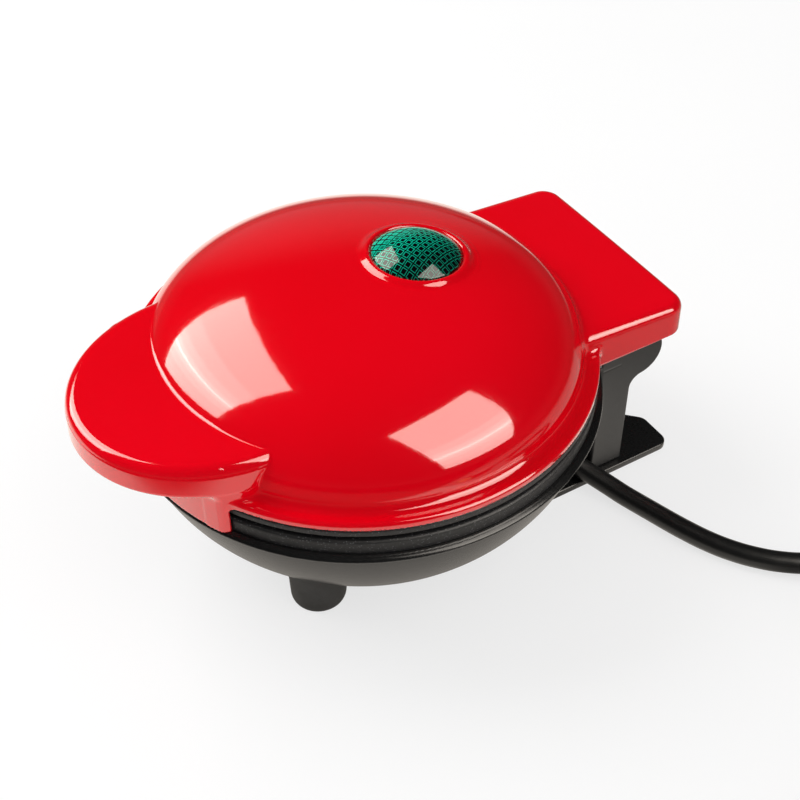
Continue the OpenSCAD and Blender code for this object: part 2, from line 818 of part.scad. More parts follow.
module lower_housing() {
    color("#26262a")
    difference() {
        union() {
            difference() {
                union() {
                    bowl_solid(bowl_r, bowl_depth, bowl_floor_z);
                    translate([0, 0, bowl_rim_z - bead_h]) cylinder(r = bead_r, h = bead_h);
                    tower_shell();
                    outlet_boss();
                }
                bowl_solid(bowl_r - base_t, bowl_depth - base_t, bowl_inner_z);
                translate([0, 0, bowl_rim_z - bead_h - eps])
                    cylinder(r = bowl_r - base_t, h = bead_h + 1);
            }
            intersection() {
                bowl_solid(bowl_r, bowl_depth, bowl_floor_z);
                union() {
                    foot_socket_solid();
                    around(plate_screw_angles)
                        translate([lower_screw_r, 0, bowl_rim_z - lower_boss_h])
                            cylinder(r = plate_boss_r, h = lower_boss_h);
                }
            }
            pin_supports();
            for (side = [-1, 1]) {
                translate([side * tower_screw_x, tower_screw_y, foot_plate_t])
                    cylinder(r = tower_depth / 2 - base_t / 2, h = foot_screw_l + 1);
                translate([side * bowl_screw_x, bowl_screw_y, foot_plate_t])
                    cylinder(r = plate_boss_r + 0.5, h = foot_screw_l + 2);
            }
        }
        ear_slots();
        pin_hole(-pin_outer_x, pin_d / 2 + fit / 2, pin_outer_x - pin_inner_x + pin_web_t);
        pin_hole(pin_inner_x - pin_web_t, pin_d / 2 + fit / 2, pin_outer_x - pin_inner_x + pin_web_t);
        for (side = [-1, 1]) {
            translate([side * foot_x, -foot_y, 0])
                cylinder(r = foot_d / 2 + 0.2, h = foot_pocket_z);
            translate([side * foot_x, -foot_y, 0])
                cylinder(r = foot_stem_r + fit, h = foot_pocket_z + foot_socket_t + 1);
            translate([side * foot_x, -foot_y, foot_pocket_z + foot_socket_t])
                cylinder(r = foot_barb_r + 0.3, h = foot_d / 2);
            translate([side * tower_screw_x, tower_screw_y, 0])
                cylinder(r = screw_hole_r, h = foot_screw_l + screw_tip_gap, $fn = 32);
            translate([side * bowl_screw_x, bowl_screw_y, 0])
                cylinder(r = screw_hole_r, h = foot_screw_l + screw_tip_gap, $fn = 32);
        }
        around(plate_screw_angles)
            translate([lower_screw_r, 0, bowl_rim_z - lower_screw_grip - screw_tip_gap])
                cylinder(r = screw_hole_r, h = lower_screw_l, $fn = 32);
        // Way for the leads from the tower into the bowl
        translate([-lead_window_w / 2, tower_front_y - 6, lead_window_z])
            cube([lead_window_w, tower_depth, 10]);
        // Slot in the tower's round top that the sleeves swing through
        translate([-lead_slot_w / 2, hinge_y - 3.9, hinge_z - 3.5])
            cube([lead_slot_w, far / 4, far / 4]);
        // Bore and window of the cord outlet
        translate([outlet_x, outlet_y, outlet_z]) rotate([0, -90, 0]) {
            translate([0, 0, -eps]) cylinder(r = relief_neck_r + fit, h = relief_neck_l + eps);
            cylinder(r = relief_neck_r - 1 + fit, h = outlet_l - outlet_wall);
        }
        translate([outlet_x - outlet_l + outlet_wall, outlet_y, outlet_z - 2])
            cube([outlet_l - outlet_wall - relief_neck_l - 0.5, tower_front_y - outlet_y + base_t + 1, 4]);
    }
}

module hinge_pin(side) {
    color("silver")
    translate([side * (pin_inner_x + pin_outer_x - pin_web_t) / 2, hinge_y, hinge_z])
        rotate([0, 90, 0]) cylinder(r = pin_d / 2, h = pin_l, center = true);
}

// Flat rear foot with two ears and a notch between them
module foot_plate_outline() {
    w = foot_plate_w / 2;
    notch_y = foot_plate_back - notch_depth;
    corner = 3.3;
    difference() {
        union() {
            translate([-w, foot_plate_front]) square([2 * w, foot_plate_back - corner - foot_plate_front]);
            translate([-w + corner, foot_plate_front]) square([2 * (w - corner), foot_plate_back - foot_plate_front]);
            for (side = [-1, 1]) translate([side * (w - corner), foot_plate_back - corner]) circle(corner);
        }
        polygon([[-notch_half_w, foot_plate_back + 1], [notch_half_w, foot_plate_back + 1],
            [notch_half_w, foot_plate_back], [notch_half_w - notch_depth, notch_y],
            [-notch_half_w + notch_depth, notch_y], [-notch_half_w, foot_plate_back]]);
    }
}

module foot_plate() {
    color("#1c1c1e")
    difference() {
        linear_extrude(foot_plate_t) foot_plate_outline();
        for (side = [-1, 1]) {
            translate([side * tower_screw_x, tower_screw_y, 0]) screw_seat(foot_plate_t);
            translate([side * bowl_screw_x, bowl_screw_y, 0]) screw_seat(foot_plate_t);
        }
    }
}

module foot_plate_screws() {
    color("silver")
    for (side = [-1, 1]) {
        translate([side * tower_screw_x, tower_screw_y, 0]) screw(foot_screw_l);
        translate([side * bowl_screw_x, bowl_screw_y, 0]) screw(foot_screw_l);
    }
}

module front_foot(side) {
    color("#303032")
    translate([side * foot_x, -foot_y, 0])
        rotate_extrude()
            polygon([[0, 0], [foot_tip_d / 2 - 1.5, 0], [foot_tip_d / 2 - 0.4, 0.5], [foot_tip_d / 2, 1.6],
                [foot_d / 2, foot_pocket_z - fit], [foot_stem_r, foot_pocket_z - fit],
                [foot_stem_r, foot_pocket_z + foot_socket_t + 0.2],
                [foot_barb_r, foot_pocket_z + foot_socket_t + 0.2],
                [foot_stem_r, foot_pocket_z + foot_socket_t + 2.2], [0, foot_pocket_z + foot_socket_t + 2.2]]);
}

// ---- Heating controls and wiring ----

// Lead or sleeve along a list of points
module wire(points, r) {
    tube(points, r, [1, 0, 0]);
}

thermostat_r = 8;
thermostat_h = 8;
module thermostat() {
    color("ivory")
    translate([0, 0, lower_back_z - fit]) mirror([0, 0, 1]) {
        cylinder(r = thermostat_r, h = 3);
        cylinder(r = thermostat_r - 1.5, h = thermostat_h);
        for (side = [-1, 1]) translate([side * 3.5 - 1.5, -0.4, 0]) cube([3, 0.8, thermostat_h + 2]);
    }
}

fuse_x = 19;
module thermal_fuse() {
    color("goldenrod")
    translate([fuse_x, 0, lower_back_z - fit]) mirror([0, 0, 1]) {
        translate([0, 0, 2]) rotate([90, 0, 0]) cylinder(r = 2, h = 12, center = true);
        translate([-3.5, -2, 0]) cube([7, 4, 1]);
        translate([-2.4, -2, 0]) cube([4.8, 4, 3.2]);
    }
}

block_x = -9;
block_y = 14;
terminal_h = 9;
terminal_w = 24;
terminal_l = 12;
terminal_pitch = 12;
module terminal_block() {
    color("white")
    difference() {
        translate([block_x - terminal_w / 2, block_y - terminal_l / 2, bowl_inner_z])
            cube([terminal_w, terminal_l, terminal_h]);
        for (side = [-1, 1])
            translate([block_x + side * terminal_pitch / 2, block_y, bowl_inner_z + terminal_h - 3])
                cylinder(r = 2, h = 4, $fn = 24);
    }
}

// Leads from the cord's outlet up through the tower and into the bowl, to the block
module supply_leads() {
    color("#7a4a20")
    for (side = [-1, 1]) {
        x = outlet_x - outlet_l + outlet_wall + 2.2 + side * 1.1;
        x2 = supply_x + side * 1.1;
        wire([
            [x, outlet_y + 1, outlet_z], [x, tower_screw_y - 1.5, outlet_z],
            [x2, tower_screw_y - 1, outlet_z + 12], [x2, tower_screw_y - 2, lead_window_z + 4],
            [x2, lower_shield_r + 5, lead_window_z + 4], [x2, lower_shield_r + 1.8, lower_shield_z - 4],
            [block_x + side * terminal_pitch / 2, block_y + terminal_l / 2 + wire_r + fit,
                bowl_inner_z + terminal_h / 2 + wire_r / 2],
            [block_x + side * terminal_pitch / 2, block_y + terminal_l / 2 + fit,
                bowl_inner_z + terminal_h / 2 + wire_r / 2]], wire_r);
    }
}

module heater_leads() {
    color("white")
    for (side = [-1, 1])
        wire([
            [block_x + side * terminal_pitch / 2, block_y, bowl_inner_z + terminal_h],
            [block_x + side * terminal_pitch / 2, block_y, bowl_inner_z + terminal_h + 4],
            [side * 3.5, 2, lower_back_z - thermostat_h - 5],
            [side * 3.5, 0, lower_back_z - thermostat_h - 2.5]], wire_r);
}

// Sleeved leads that cross the hinge: each sleeve stops short of the axis on its own side
module lower_sleeve() {
    color("khaki")
    for (side = [-1, 1])
        let (x = side * lead_gap)
            wire([
                [x, lower_shield_r + 6, lead_window_z + 2.5], [x, tower_front_y + 0.7, lead_window_z + 4],
                [x, tower_front_y + 5.2, lead_window_z + 5.5], [x, hinge_y - 5.8, hinge_z - 4.6],
                [x, hinge_y - 3.7, hinge_z - 2.4]], sleeve_r);
}

module upper_sleeve() {
    color("khaki")
    for (side = [-1, 1])
        let (x = side * lead_gap)
            wire([
                [x, hinge_y - 0.5, hinge_z + 6], [x, hinge_y - 2.8, hinge_z + 9.6],
                [x, hinge_y - 5.1, hinge_z + 12.8], [x, hinge_y - 7.1, flange_z + 0.8],
                [x, rim_r + 0.5, flange_z + 0.8]], sleeve_r);
}

module upper_leads() {
    pin_x = element_loop_r * sin(element_pin_deg);
    pin_y = element_loop_r * cos(element_pin_deg);
    color("white")
    for (side = [-1, 1])
        let (x = side * lead_gap)
            wire([
                [x, rim_r + 0.4, flange_z + wire_r + fit], [x, dome_r - 1, flange_z + wire_r + fit],
                [x, dome_r - 4.3, flange_z + 2.6], [x, dome_r - 4.9, upper_back_z + 1.6],
                [x, dome_r - 9, upper_back_z + 3.4], [side * pin_x, pin_y + 7, upper_back_z + 4.4],
                [side * pin_x, pin_y + 4.6, upper_back_z + 6.6],
                [side * pin_x, pin_y + element_pin_r + 0.9, upper_back_z + 7.4]], wire_r);
}

// ---- Cord ----

// Direction of a route at one of its points
function heading(route, i) =
    let (a = route[max(i - 1, 0)], b = route[min(i + 1, len(route) - 1)]) (b - a) / norm(b - a);

// One ring of a tube, set out from a direction that the route never takes
function tube_ring(route, i, r, off) =
    let (d = heading(route, i), side = cross(d, off) / norm(cross(d, off)), up = cross(side, d))
    [for (k = [0:cord_sides - 1])
        let (a = 360 * k / cord_sides) route[i] + r * (cos(a) * side + sin(a) * up)];

// Tube swept along a route
module tube(route, r, off = [0, 0, 1]) {
    n = len(route);
    m = cord_sides;
    polyhedron(
        points = [for (i = [0:n - 1]) each tube_ring(route, i, r, off)],
        faces = concat(
            [[for (k = [0:m - 1]) k]],
            [for (i = [0:n - 2], k = [0:m - 1])
                [i * m + k, (i + 1) * m + k, (i + 1) * m + (k + 1) % m, i * m + (k + 1) % m]],
            [[for (k = [m - 1:-1:0]) (n - 1) * m + k]]),
        convexity = 6);
}

module strain_relief() {
    color("#1c1c1e")
    translate([outlet_x, outlet_y, outlet_z]) rotate([0, 90, 0]) {
        cylinder(r1 = relief_r, r2 = relief_tip_r, h = relief_l);
        translate([0, 0, -relief_neck_l + fit]) cylinder(r = relief_neck_r, h = relief_neck_l);
    }
}

module power_cord() {
    color("#161618") tube(cord_route, cord_r);
}

module cord_tail() {
    color("#161618") tube(cord_tail_route, cord_r);
}

module cord_coil() {
    inner = coil_lower_r[0] - cord_r;
    outer = coil_lower_r[1] + cord_r;
    shoulder = coil_z + cord_d;
    top = coil_upper_z + cord_r;
    color("#161618")
    translate([coil_centre[0], coil_centre[1], 0])
        rotate_extrude()
            polygon([[inner, coil_z], [outer, coil_z], [outer, shoulder], [coil_upper_r + cord_r, top],
                [coil_upper_r - cord_r, top], [inner, shoulder]]);
}

module coil_tie() {
    w = coil_lower_r[1] - coil_lower_r[0] + cord_d + 2 * tie_t + 1;
    h = coil_upper_z + cord_r + tie_t + 0.1;
    color("#2a2a2c")
    translate([coil_centre[0], coil_centre[1], 0]) rotate([0, 0, tie_angle])
        translate([coil_upper_r - w / 2, -tie_w / 2, 0])
            difference() {
                cube([w, tie_w, h]);
                translate([tie_t, -eps, tie_t]) cube([w - 2 * tie_t, tie_w + 2 * eps, h - 2 * tie_t]);
            }
}

plug_at = cord_tail_route[len(cord_tail_route) - 1];
module plug_body() {
    color("#1a1a1c")
    translate([plug_at[0], plug_at[1], plug_at[2]]) rotate([90, 0, 0])
        hull() {
            cylinder(r = cord_r + 1.2, h = 1, $fn = 32);
            translate([0, 0, plug_nose_l]) linear_extrude(plug_l - plug_nose_l)
                for (x = [-1, 1], y = [-1, 1])
                    translate([x * (plug_w / 2 - 4), y * (plug_h / 2 - 4)]) circle(4, $fn = 32);
        }
}

module plug_blades() {
    color("gold")
    for (side = [-1, 1])
        translate([plug_at[0] + side * blade_gap / 2 - blade_t / 2, plug_at[1] - plug_l - blade_l,
            plug_at[2] - blade_w / 2]) cube([blade_t, blade_l, blade_w]);
}

at_axis() upper_housing();
at_axis() lens();
at_axis() lens_clip();
at_axis() lamp();
at_axis() lamp_holder();
at_axis() upper_plate();
at_axis() upper_plate_screws();
at_axis() upper_element();
at_axis() upper_reflector();
at_axis() upper_reflector_screws();
at_axis() upper_leads();
at_axis() upper_sleeve();
at_axis() lower_housing();
at_axis() lower_plate();
at_axis() lower_plate_screws();
at_axis() lower_element();
at_axis() lower_reflector();
at_axis() lower_reflector_screws();
at_axis() thermostat();
at_axis() thermal_fuse();
at_axis() terminal_block();
at_axis() supply_leads();
at_axis() heater_leads();
at_axis() lower_sleeve();
at_axis() hinge_pin(-1);  // hinge_pin_left
at_axis() hinge_pin(1);  // hinge_pin_right
at_axis() foot_plate();
at_axis() foot_plate_screws();
at_axis() front_foot(-1);  // front_foot_left
at_axis() front_foot(1);  // front_foot_right
at_axis() strain_relief();
at_outlet() power_cord();
at_outlet() cord_coil();
at_outlet() cord_tail();
at_outlet() coil_tie();
at_outlet() plug_body();
at_outlet() plug_blades();
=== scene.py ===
"""Mini waffle maker: its looks, light and camera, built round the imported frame.

Shapes are worked out in millimetres from the axis of the round plates, and scaled to metres once.
Moulded pieces with blended edges are fields: a function that is negative inside the piece. Round
pieces are lathed, and the cord follows the frame's own route.
"""
import math

import bmesh
import bpy
import numpy as np
from mathutils import Matrix, Vector


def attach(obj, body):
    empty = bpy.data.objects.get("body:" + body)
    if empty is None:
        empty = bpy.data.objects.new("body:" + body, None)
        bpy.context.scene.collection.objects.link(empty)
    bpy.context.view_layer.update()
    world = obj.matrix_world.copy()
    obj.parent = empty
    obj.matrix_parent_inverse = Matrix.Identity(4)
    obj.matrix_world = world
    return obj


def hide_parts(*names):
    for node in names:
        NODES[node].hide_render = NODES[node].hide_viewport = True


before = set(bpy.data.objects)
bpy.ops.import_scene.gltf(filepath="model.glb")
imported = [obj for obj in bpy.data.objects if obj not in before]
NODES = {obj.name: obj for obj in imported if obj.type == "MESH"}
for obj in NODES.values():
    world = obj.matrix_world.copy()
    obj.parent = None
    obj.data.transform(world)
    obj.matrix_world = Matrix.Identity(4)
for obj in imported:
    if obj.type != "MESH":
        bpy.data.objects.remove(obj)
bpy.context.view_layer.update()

MM = 0.001
AXIS_Y = -3.0

# Lid. Sizes are the solids' own, but the lens is 0.25 mm wider and its crown is higher over a lower
# seat, and the leg under the handle is flush with the skirt.
RIM_R = 63.5
RIM_Z = 52.0
FLANGE_T = 2.3
FLANGE_Z = RIM_Z + FLANGE_T
DOME_R = 59.0
DOME_RISE = 25.5
DOME_POWER = 2.26
LID_T = 2.2
LIP_ROUND = 1.0
DOME_FILLET = 2.4
TOP_FILLET = 0.4
LIP_FILLET = 1.4
HANDLE_HALF_W = 34.5
HANDLE_ROOT = -42.2
HANDLE_LEN = 38.3
HANDLE_TOP = 66.0
HANDLE_UNDER = 57.2
SKIRT_IN = 63.8
SKIRT_OUT = 65.4
SKIRT_Z = 43.9
LEG_T = 3.4
HANDLE_DRAFT = 0.04
BLOCK_HALF_W = 33.5
BLOCK_FRONT = 42.0
BLOCK_BACK = 85.5
BLOCK_CORNER = 6.0
BLOCK_TOP_FRONT = 60.0
BLOCK_TOP_BACK = 57.2
BLOCK_Z = 47.3
HINGE_Y = 72.3
HINGE_Z = 41.6
EAR_X = 21.0
EAR_T = 4.0
EAR_R = 6.0
PIN_R = 2.0
RUNNING = 0.5
EAR_SLOT_DEPTH = 8.4
LEAD_SLOT_HALF_W = 3.5
LEAD_SLOT_REACH = 3.9
LENS_R = 11.85
LENS_Y = 17.1
LENS_Z = FLANGE_Z + DOME_RISE * (1 - (LENS_Y / DOME_R) ** DOME_POWER) ** (1 / DOME_POWER)
LENS_CROWN = 4.55
LENS_EDGE = 0.6
LENS_SEAT = 1.35
LENS_STEM = 5.8
LENS_TILT = math.radians(5)
BEZEL_TOP_R = 13.2
BEZEL_FOOT_R = 16.2
BEZEL_H = 1.0
BEZEL_LIP = 0.5
BEZEL_FALL = 2.2

# Plates
PLATE_R = 63.3
UPPER_PLATE_Z = 49.5
LOWER_PLATE_Z = 48.0
UPPER_RIM_T = 2.5
LOWER_RIM_T = 4.5
WELL_R = 51.0
WELL_DEPTH = 7.0
CASTING_T = 2.0
PEG_W = 7.0
PEG_PITCH = 11.0
PEG_DROP = 2.4
PEG_HALF_COUNT = 4
PLATE_SCREW_ANGLES = (30, 150, 270)
SCREW_HOLE_R = 1.6
SCREW_SEAT_R = 2.9
SCREW_SEAT_DEPTH = 1.7

# Base
BOWL_RIM_Z = 43.5
BOWL_R = 63.5
BOWL_DEPTH = 52.0
BOWL_POWER = 1.73
BOWL_FLOOR = 6.0
BASE_T = 2.4
BEAD_R = 65.3
BEAD_H = 1.6
TOWER_HALF_W = 30.5
TOWER_FRONT = 58.3
TOWER_BACK = 69.8
TOWER_CLEAR_R = 65.8
KNUCKLE_R = 7.6
FILLET_R = 4.0
FILLET_Y = TOWER_BACK + FILLET_R
FILLET_Z = HINGE_Z - math.sqrt((KNUCKLE_R + FILLET_R) ** 2 - (FILLET_Y - HINGE_Y) ** 2)
FOOT_PLATE_T = 2.3
FOOT_PLATE_HALF_W = 32.7
FOOT_PLATE_FRONT = 36.0
FOOT_PLATE_BACK = 86.5
NOTCH_HALF_W = 20.5
NOTCH_DEPTH = 8.5
TOWER_SCREW_X = 20.0
TOWER_SCREW_Y = 64.05
BOWL_SCREW_X = 16.0
BOWL_SCREW_Y = 40.0
BOWL_BOSS_R = 3.5
BOWL_BOSS_TOP = 12.3
OUTLET_X = -3.0
OUTLET_Y = 53.0
OUTLET_Z = 8.0
OUTLET_L = 9.0
OUTLET_H = 5.1
RELIEF_R = 4.7
RELIEF_TIP_R = 3.6
RELIEF_L = 24.0
RELIEF_NECK_L = 2.45
RELIEF_RINGS = 8
RELIEF_PITCH = 2.4
FOOT_X = 27.23
FOOT_Y = -30.78
FOOT_R = 8.1
FOOT_TIP_R = 7.6
FOOT_POCKET_Z = 14.5

# Cord: the route's points, then the coil's turns, then the end that runs to the plug
CORD_R = 3.0
CORD_ROUTE = [
    (21, 50, 8), (24, 50, 8), (27, 50.5, 7.3), (30, 51.5, 6.3), (33, 52.8, 5.5), (36, 54.1, 4.9),
    (40, 55.8, 4.1), (44, 57.3, 3.5), (48, 58.8, 3.2), (53, 60.5, 3.1), (58, 62.1, 3.1),
    (64, 64.2, 3.1), (70, 66.7, 3.1), (76, 70, 3.1), (82, 74.4, 3.2), (87, 79.4, 3.3),
    (91, 84.8, 3.5), (94, 90.6, 3.7), (96, 97, 3.9), (97, 104, 3.9), (97, 111, 3.9)]
CORD_TAIL = [
    (166, 111, 9.1), (166.2, 105, 9.5), (166.8, 99, 10), (167.6, 93, 9.9), (168.6, 87, 9.2),
    (169.4, 81, 8.5), (170, 75, 8), (170, 70, 8)]
COIL_CENTRE = (133, 111)
COIL_OUTER_R = 36
COIL_INNER_R = 30
COIL_TOP_R = 33
COIL_LOW_Z = 3.9
COIL_TOP_Z = 9.1
COIL_TURNS = 2.5
TIE_T = 0.8
TIE_W = 10.0
TIE_ANGLE = 40
PLUG_AT = CORD_TAIL[-1]
PLUG_L = 36.0
PLUG_W = 26.0
PLUG_H = 15.0
PLUG_NOSE_L = 12.0
PLUG_GRIP = (16.0, 31.0)
PLUG_GRIP_PITCH = 3.0

# Camera, worked out from the photograph's proportions
CAM_AZIMUTH = math.radians(59.26)
CAM_ELEVATION = math.radians(43.03)
CAM_ROLL = math.radians(0.52)
CAM_DISTANCE = 0.37634
CAM_SHIFT_RIGHT = 0.01007
CAM_SHIFT_UP = -0.0123
CAM_TARGET = Vector((0, -0.003, 0.052))
CAM_LENS = 63.0

# Light and floor, in metres. Each softbox: where it is aimed at, the way to it, its long side, its
# size, and how far the bright tube lies from its middle.
FLOOR_HALF = 4.0
WORLD_FILL = 0.49
WORLD_LOW = 0.04
WORLD_TOP = 0.012
GLOW_TOWARD = (-0.9, 0.42, 0.1)
GLOW_FADE = (0.87, 1.0, 0.0, 0.12)
LIGHT_REACH = 1.0
SHINE = (
    ("_face", 1.0, 5.1), ("_middle", 0.5, 0.7), ("_core", 0.24, 0.8), ("_heart", 0.1, 1.0),
    ("_tube", 0.02, 3.5))
SHINE_GAP = 0.005
SOFTBOXES = (
    ("softbox_left", (0, -0.045, 0.072), (-0.62, -0.39, 0.64), (0.83, -0.32, 0.458), (0.76, 0.82),
     -0.12, 4.6),
    ("softbox_right", (0.05, -0.005, 0.068), (0.66, 0.36, 0.62), (-0.26, 0.96, 0.03), (0.74, 1.2),
     -0.19, 1.1))

# How reflections see the floor, a painted reflection: its tint, and fades by distance and along two ways, in
# metres, giving painted shade under the object and dark farther off. A fade holds the two values that it runs
# between, and what it gives at each.
WARM = (1.0, 0.93, 0.84, 1)
FLOOR_FAR = (0.25, 0.45, 1.0, 0.1)
FLOOR_FRONT = (0.64, -0.77, 0)
FLOOR_FRONT_FADE = (0.122, 0.145, 1.0, 0.08)
FLOOR_HINGE = (0.6, 0.8, 0)
FLOOR_HINGE_FADE = (0.104, 0.12, 1.0, 0.35)
FLOOR_PAINTED_SHADE = (0.035, 0.09, 0.3, 1.0)
FLOOR_WHITE = (0.4, 1.4, 0.7, 1.0)

# Where along Y the base turns from glossy black to the tower's duller finish and lighter grey; the lighter
# grey is painted sheen for the light that the tower's side catches
TOWER_DULL_AND_PAINTED_SHEEN = (0.052, 0.062, 0.0, 1.0)

# The lens's facets: width, the turn of their rows, fades across the lens, and colours from the middle of a
# facet to its border, away from the light and towards it. These colours are painted light: painted shade in a
# facet's middle, a painted glint on its border, a painted lit side towards -X, and painted shade that dims
# the facets towards +X.
FACET_PITCH = 1.93
FACET_TURN = math.radians(-23)
FACET_PAINTED_DIM = (-0.003, 0.009, 0.85, 0.25)
FACET_PAINTED_LIGHT_SIDE = (-0.0015, -0.0075, 0.0, 1.0)
FACET_PAINTED_SHADE = ((0.0, (0.0, 0.003, 0.004, 1)), (0.3, (0.0, 0.004, 0.005, 1)), (0.325, (0.0, 1.0, 0.64, 1)),
              (0.385, (0.0, 0.9, 0.54, 1)), (0.41, (0.0, 0.06, 0.035, 1)), (0.46, (0.0, 0.035, 0.02, 1)),
              (0.49, (0.0, 0.004, 0.003, 1)))
FACET_PAINTED_LIT = ((0.0, (0.0, 0.5, 0.32, 1)), (0.2, (0.0, 0.75, 0.47, 1)), (0.33, (0.0, 0.95, 0.62, 1)),
             (0.37, (0.0, 0.1, 0.06, 1)), (0.42, (0.0, 0.03, 0.02, 1)), (0.47, (0.0, 0.005, 0.003, 1)))


# ---- Scene set-up ----

def camera_axes():
    """Directions that the camera takes as back, right and up, before it is rolled."""
    a, e = CAM_AZIMUTH, CAM_ELEVATION
    back = Vector((math.sin(a) * math.cos(e), -math.cos(a) * math.cos(e), math.sin(e)))
    right = Vector((math.cos(a), math.sin(a), 0))
    return back, right, back.cross(right)


def make_camera():
    back, right, up = camera_axes()
    target = CAM_TARGET + right * CAM_SHIFT_RIGHT + up * CAM_SHIFT_UP
    c, s = math.cos(CAM_ROLL), math.sin(CAM_ROLL)
    cam_right, cam_up = right * c - up * s, right * s + up * c
    data = bpy.data.cameras.new("camera")
    data.lens = CAM_LENS
    data.sensor_width = 36.0
    data.clip_start = 0.01
    camera = bpy.data.objects.new("camera", data)
    bpy.context.scene.collection.objects.link(camera)
    rotation = Matrix((cam_right, cam_up, back)).transposed().to_4x4()
    camera.matrix_world = Matrix.Translation(target + back * CAM_DISTANCE) @ rotation
    bpy.context.scene.camera = camera


def add_object(name, mesh, body, *materials):
    """Links a mesh as an object that rides on a body."""
    obj = bpy.data.objects.new(name, mesh)
    bpy.context.scene.collection.objects.link(obj)
    for material in materials:
        obj.data.materials.append(material)
    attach(obj, body)
    return obj


# ---- Materials ----

def fade(tree, source, limits):
    """Smooth step of a value, between the limits that a fade lists."""
    node = tree.nodes.new("ShaderNodeMapRange")
    node.interpolation_type = "SMOOTHSTEP"
    for name, value in zip(("From Min", "From Max", "To Min", "To Max"), limits):
        node.inputs[name].default_value = value
    tree.links.new(source, node.inputs["Value"])
    return node.outputs["Result"]


class Nodes:
    """A material's node tree with short ways to add and join nodes."""

    def __init__(self, name):
        self.material = bpy.data.materials.new(name)
        self.material.use_nodes = True
        self.tree = self.material.node_tree
        self.shader = self.tree.nodes["Principled BSDF"]
        self.output = self.tree.nodes["Material Output"]

    def add(self, kind, **values):
        node = self.tree.nodes.new(kind)
        for key, value in values.items():
            if hasattr(node, key):
                setattr(node, key, value)
            else:
                node.inputs[key.replace("_", " ")].default_value = value
        return node

    def join(self, source, target):
        self.tree.links.new(source, target)

    def math(self, operation, *values):
        node = self.add("ShaderNodeMath", operation=operation)
        for value, socket in zip(values, node.inputs):
            if isinstance(value, float):
                socket.default_value = value
            else:
                self.join(value, socket)
        return node.outputs[0]

    def split(self, vector):
        node = self.add("ShaderNodeSeparateXYZ")
        self.join(vector, node.inputs["Vector"])
        return node.outputs

    def place(self):
        return self.add("ShaderNodeTexCoord").outputs["Object"]

    def noise(self, scale, detail=2.0, roughness=0.5):
        node = self.add("ShaderNodeTexNoise", Scale=scale, Detail=detail, Roughness=roughness)
        self.join(self.place(), node.inputs["Vector"])
        return node.outputs["Fac"]

    def ramp(self, source, low, high, stops=(0.0, 1.0)):
        return self.steps(source, ((stops[0], low), (stops[1], high)))

    def steps(self, source, stops):
        node = self.add("ShaderNodeValToRGB")
        self.join(source, node.inputs["Fac"])
        elements = node.color_ramp.elements
        while len(elements) < len(stops):
            elements.new(1.0)
        for element, (stop, colour) in zip(elements, stops):
            element.position = stop
            element.color = colour
        return node.outputs["Color"]

    def between(self, source, low, high):
        node = self.add("ShaderNodeMapRange")
        self.join(source, node.inputs["Value"])
        node.inputs["To Min"].default_value = low
        node.inputs["To Max"].default_value = high
        return node.outputs["Result"]

    def bump(self, height, distance, strength=1.0):
        node = self.add("ShaderNodeBump", Distance=distance, Strength=strength)
        self.join(height, node.inputs["Height"])
        self.join(node.outputs["Normal"], self.shader.inputs["Normal"])
        return node

    def set(self, **values):
        for key, value in values.items():
            self.shader.inputs[key.replace("_", " ")].default_value = value


def grey(value):
    return (value, value, value, 1.0)


def red_gloss():
    n = Nodes("red_gloss_moulding")
    n.set(IOR=1.5, Coat_Weight=1.0, Coat_Roughness=0.03, Coat_IOR=1.5)
    n.join(n.ramp(n.noise(18, 3), (0.78, 0.0, 0.006, 1), (0.84, 0.0, 0.009, 1), (0.3, 0.7)),
           n.shader.inputs["Base Color"])
    n.join(n.between(n.noise(420, 4, 0.6), 0.045, 0.11), n.shader.inputs["Roughness"])
    n.bump(n.noise(320, 3, 0.5), 0.00005, 0.5)
    return n.material


def black_gloss():
    """Glossy black, duller on the upright that carries the hinge, and greyer there with a painted sheen."""
    n = Nodes("black_gloss_moulding")
    n.set(IOR=1.5)
    tower = fade(n.tree, n.split(n.place())["Y"], TOWER_DULL_AND_PAINTED_SHEEN)
    # The tower's lighter tone is painted sheen that stands in for light on its side; its roughness is its
    # real duller finish.
    shade = n.add("ShaderNodeMix", data_type="RGBA")
    n.join(tower, shade.inputs[0])
    n.join(n.ramp(n.noise(30, 3), grey(0.006), grey(0.011), (0.3, 0.7)), shade.inputs[6])
    n.join(n.ramp(n.noise(30, 3), grey(0.024), grey(0.03), (0.3, 0.7)), shade.inputs[7])
    n.join(shade.outputs[2], n.shader.inputs["Base Color"])
    rough = n.add("ShaderNodeMix")
    n.join(tower, rough.inputs[0])
    n.join(n.between(n.noise(500, 4, 0.6), 0.16, 0.26), rough.inputs[2])
    n.join(n.between(n.noise(500, 4, 0.6), 0.42, 0.52), rough.inputs[3])
    n.join(rough.outputs[0], n.shader.inputs["Roughness"])
    n.bump(n.noise(900, 2, 0.5), 0.00003, 0.4)
    return n.material


def mottled(name, tones, grain, rough, relief, stops=(0.3, 0.7)):
    """Plain material: a colour between two tones, a roughness between two values or one, a fine bump."""
    n = Nodes(name)
    n.set(IOR=1.5)
    n.join(n.ramp(n.noise(*grain), *tones, stops), n.shader.inputs["Base Color"])
    if isinstance(rough, float):
        n.set(Roughness=rough)
    else:
        n.join(n.between(n.noise(*rough[0]), *rough[1]), n.shader.inputs["Roughness"])
    if relief:
        n.bump(n.noise(*relief[0]), *relief[1])
    return n.material


def black_satin(name, low=0.22, high=0.34, colour=0.007):
    return mottled(name, (grey(colour), grey(colour * 1.6)), (40, 3), ((600, 4, 0.6), (low, high)),
                   ((1400, 2, 0.6), (0.00004, 0.5)))


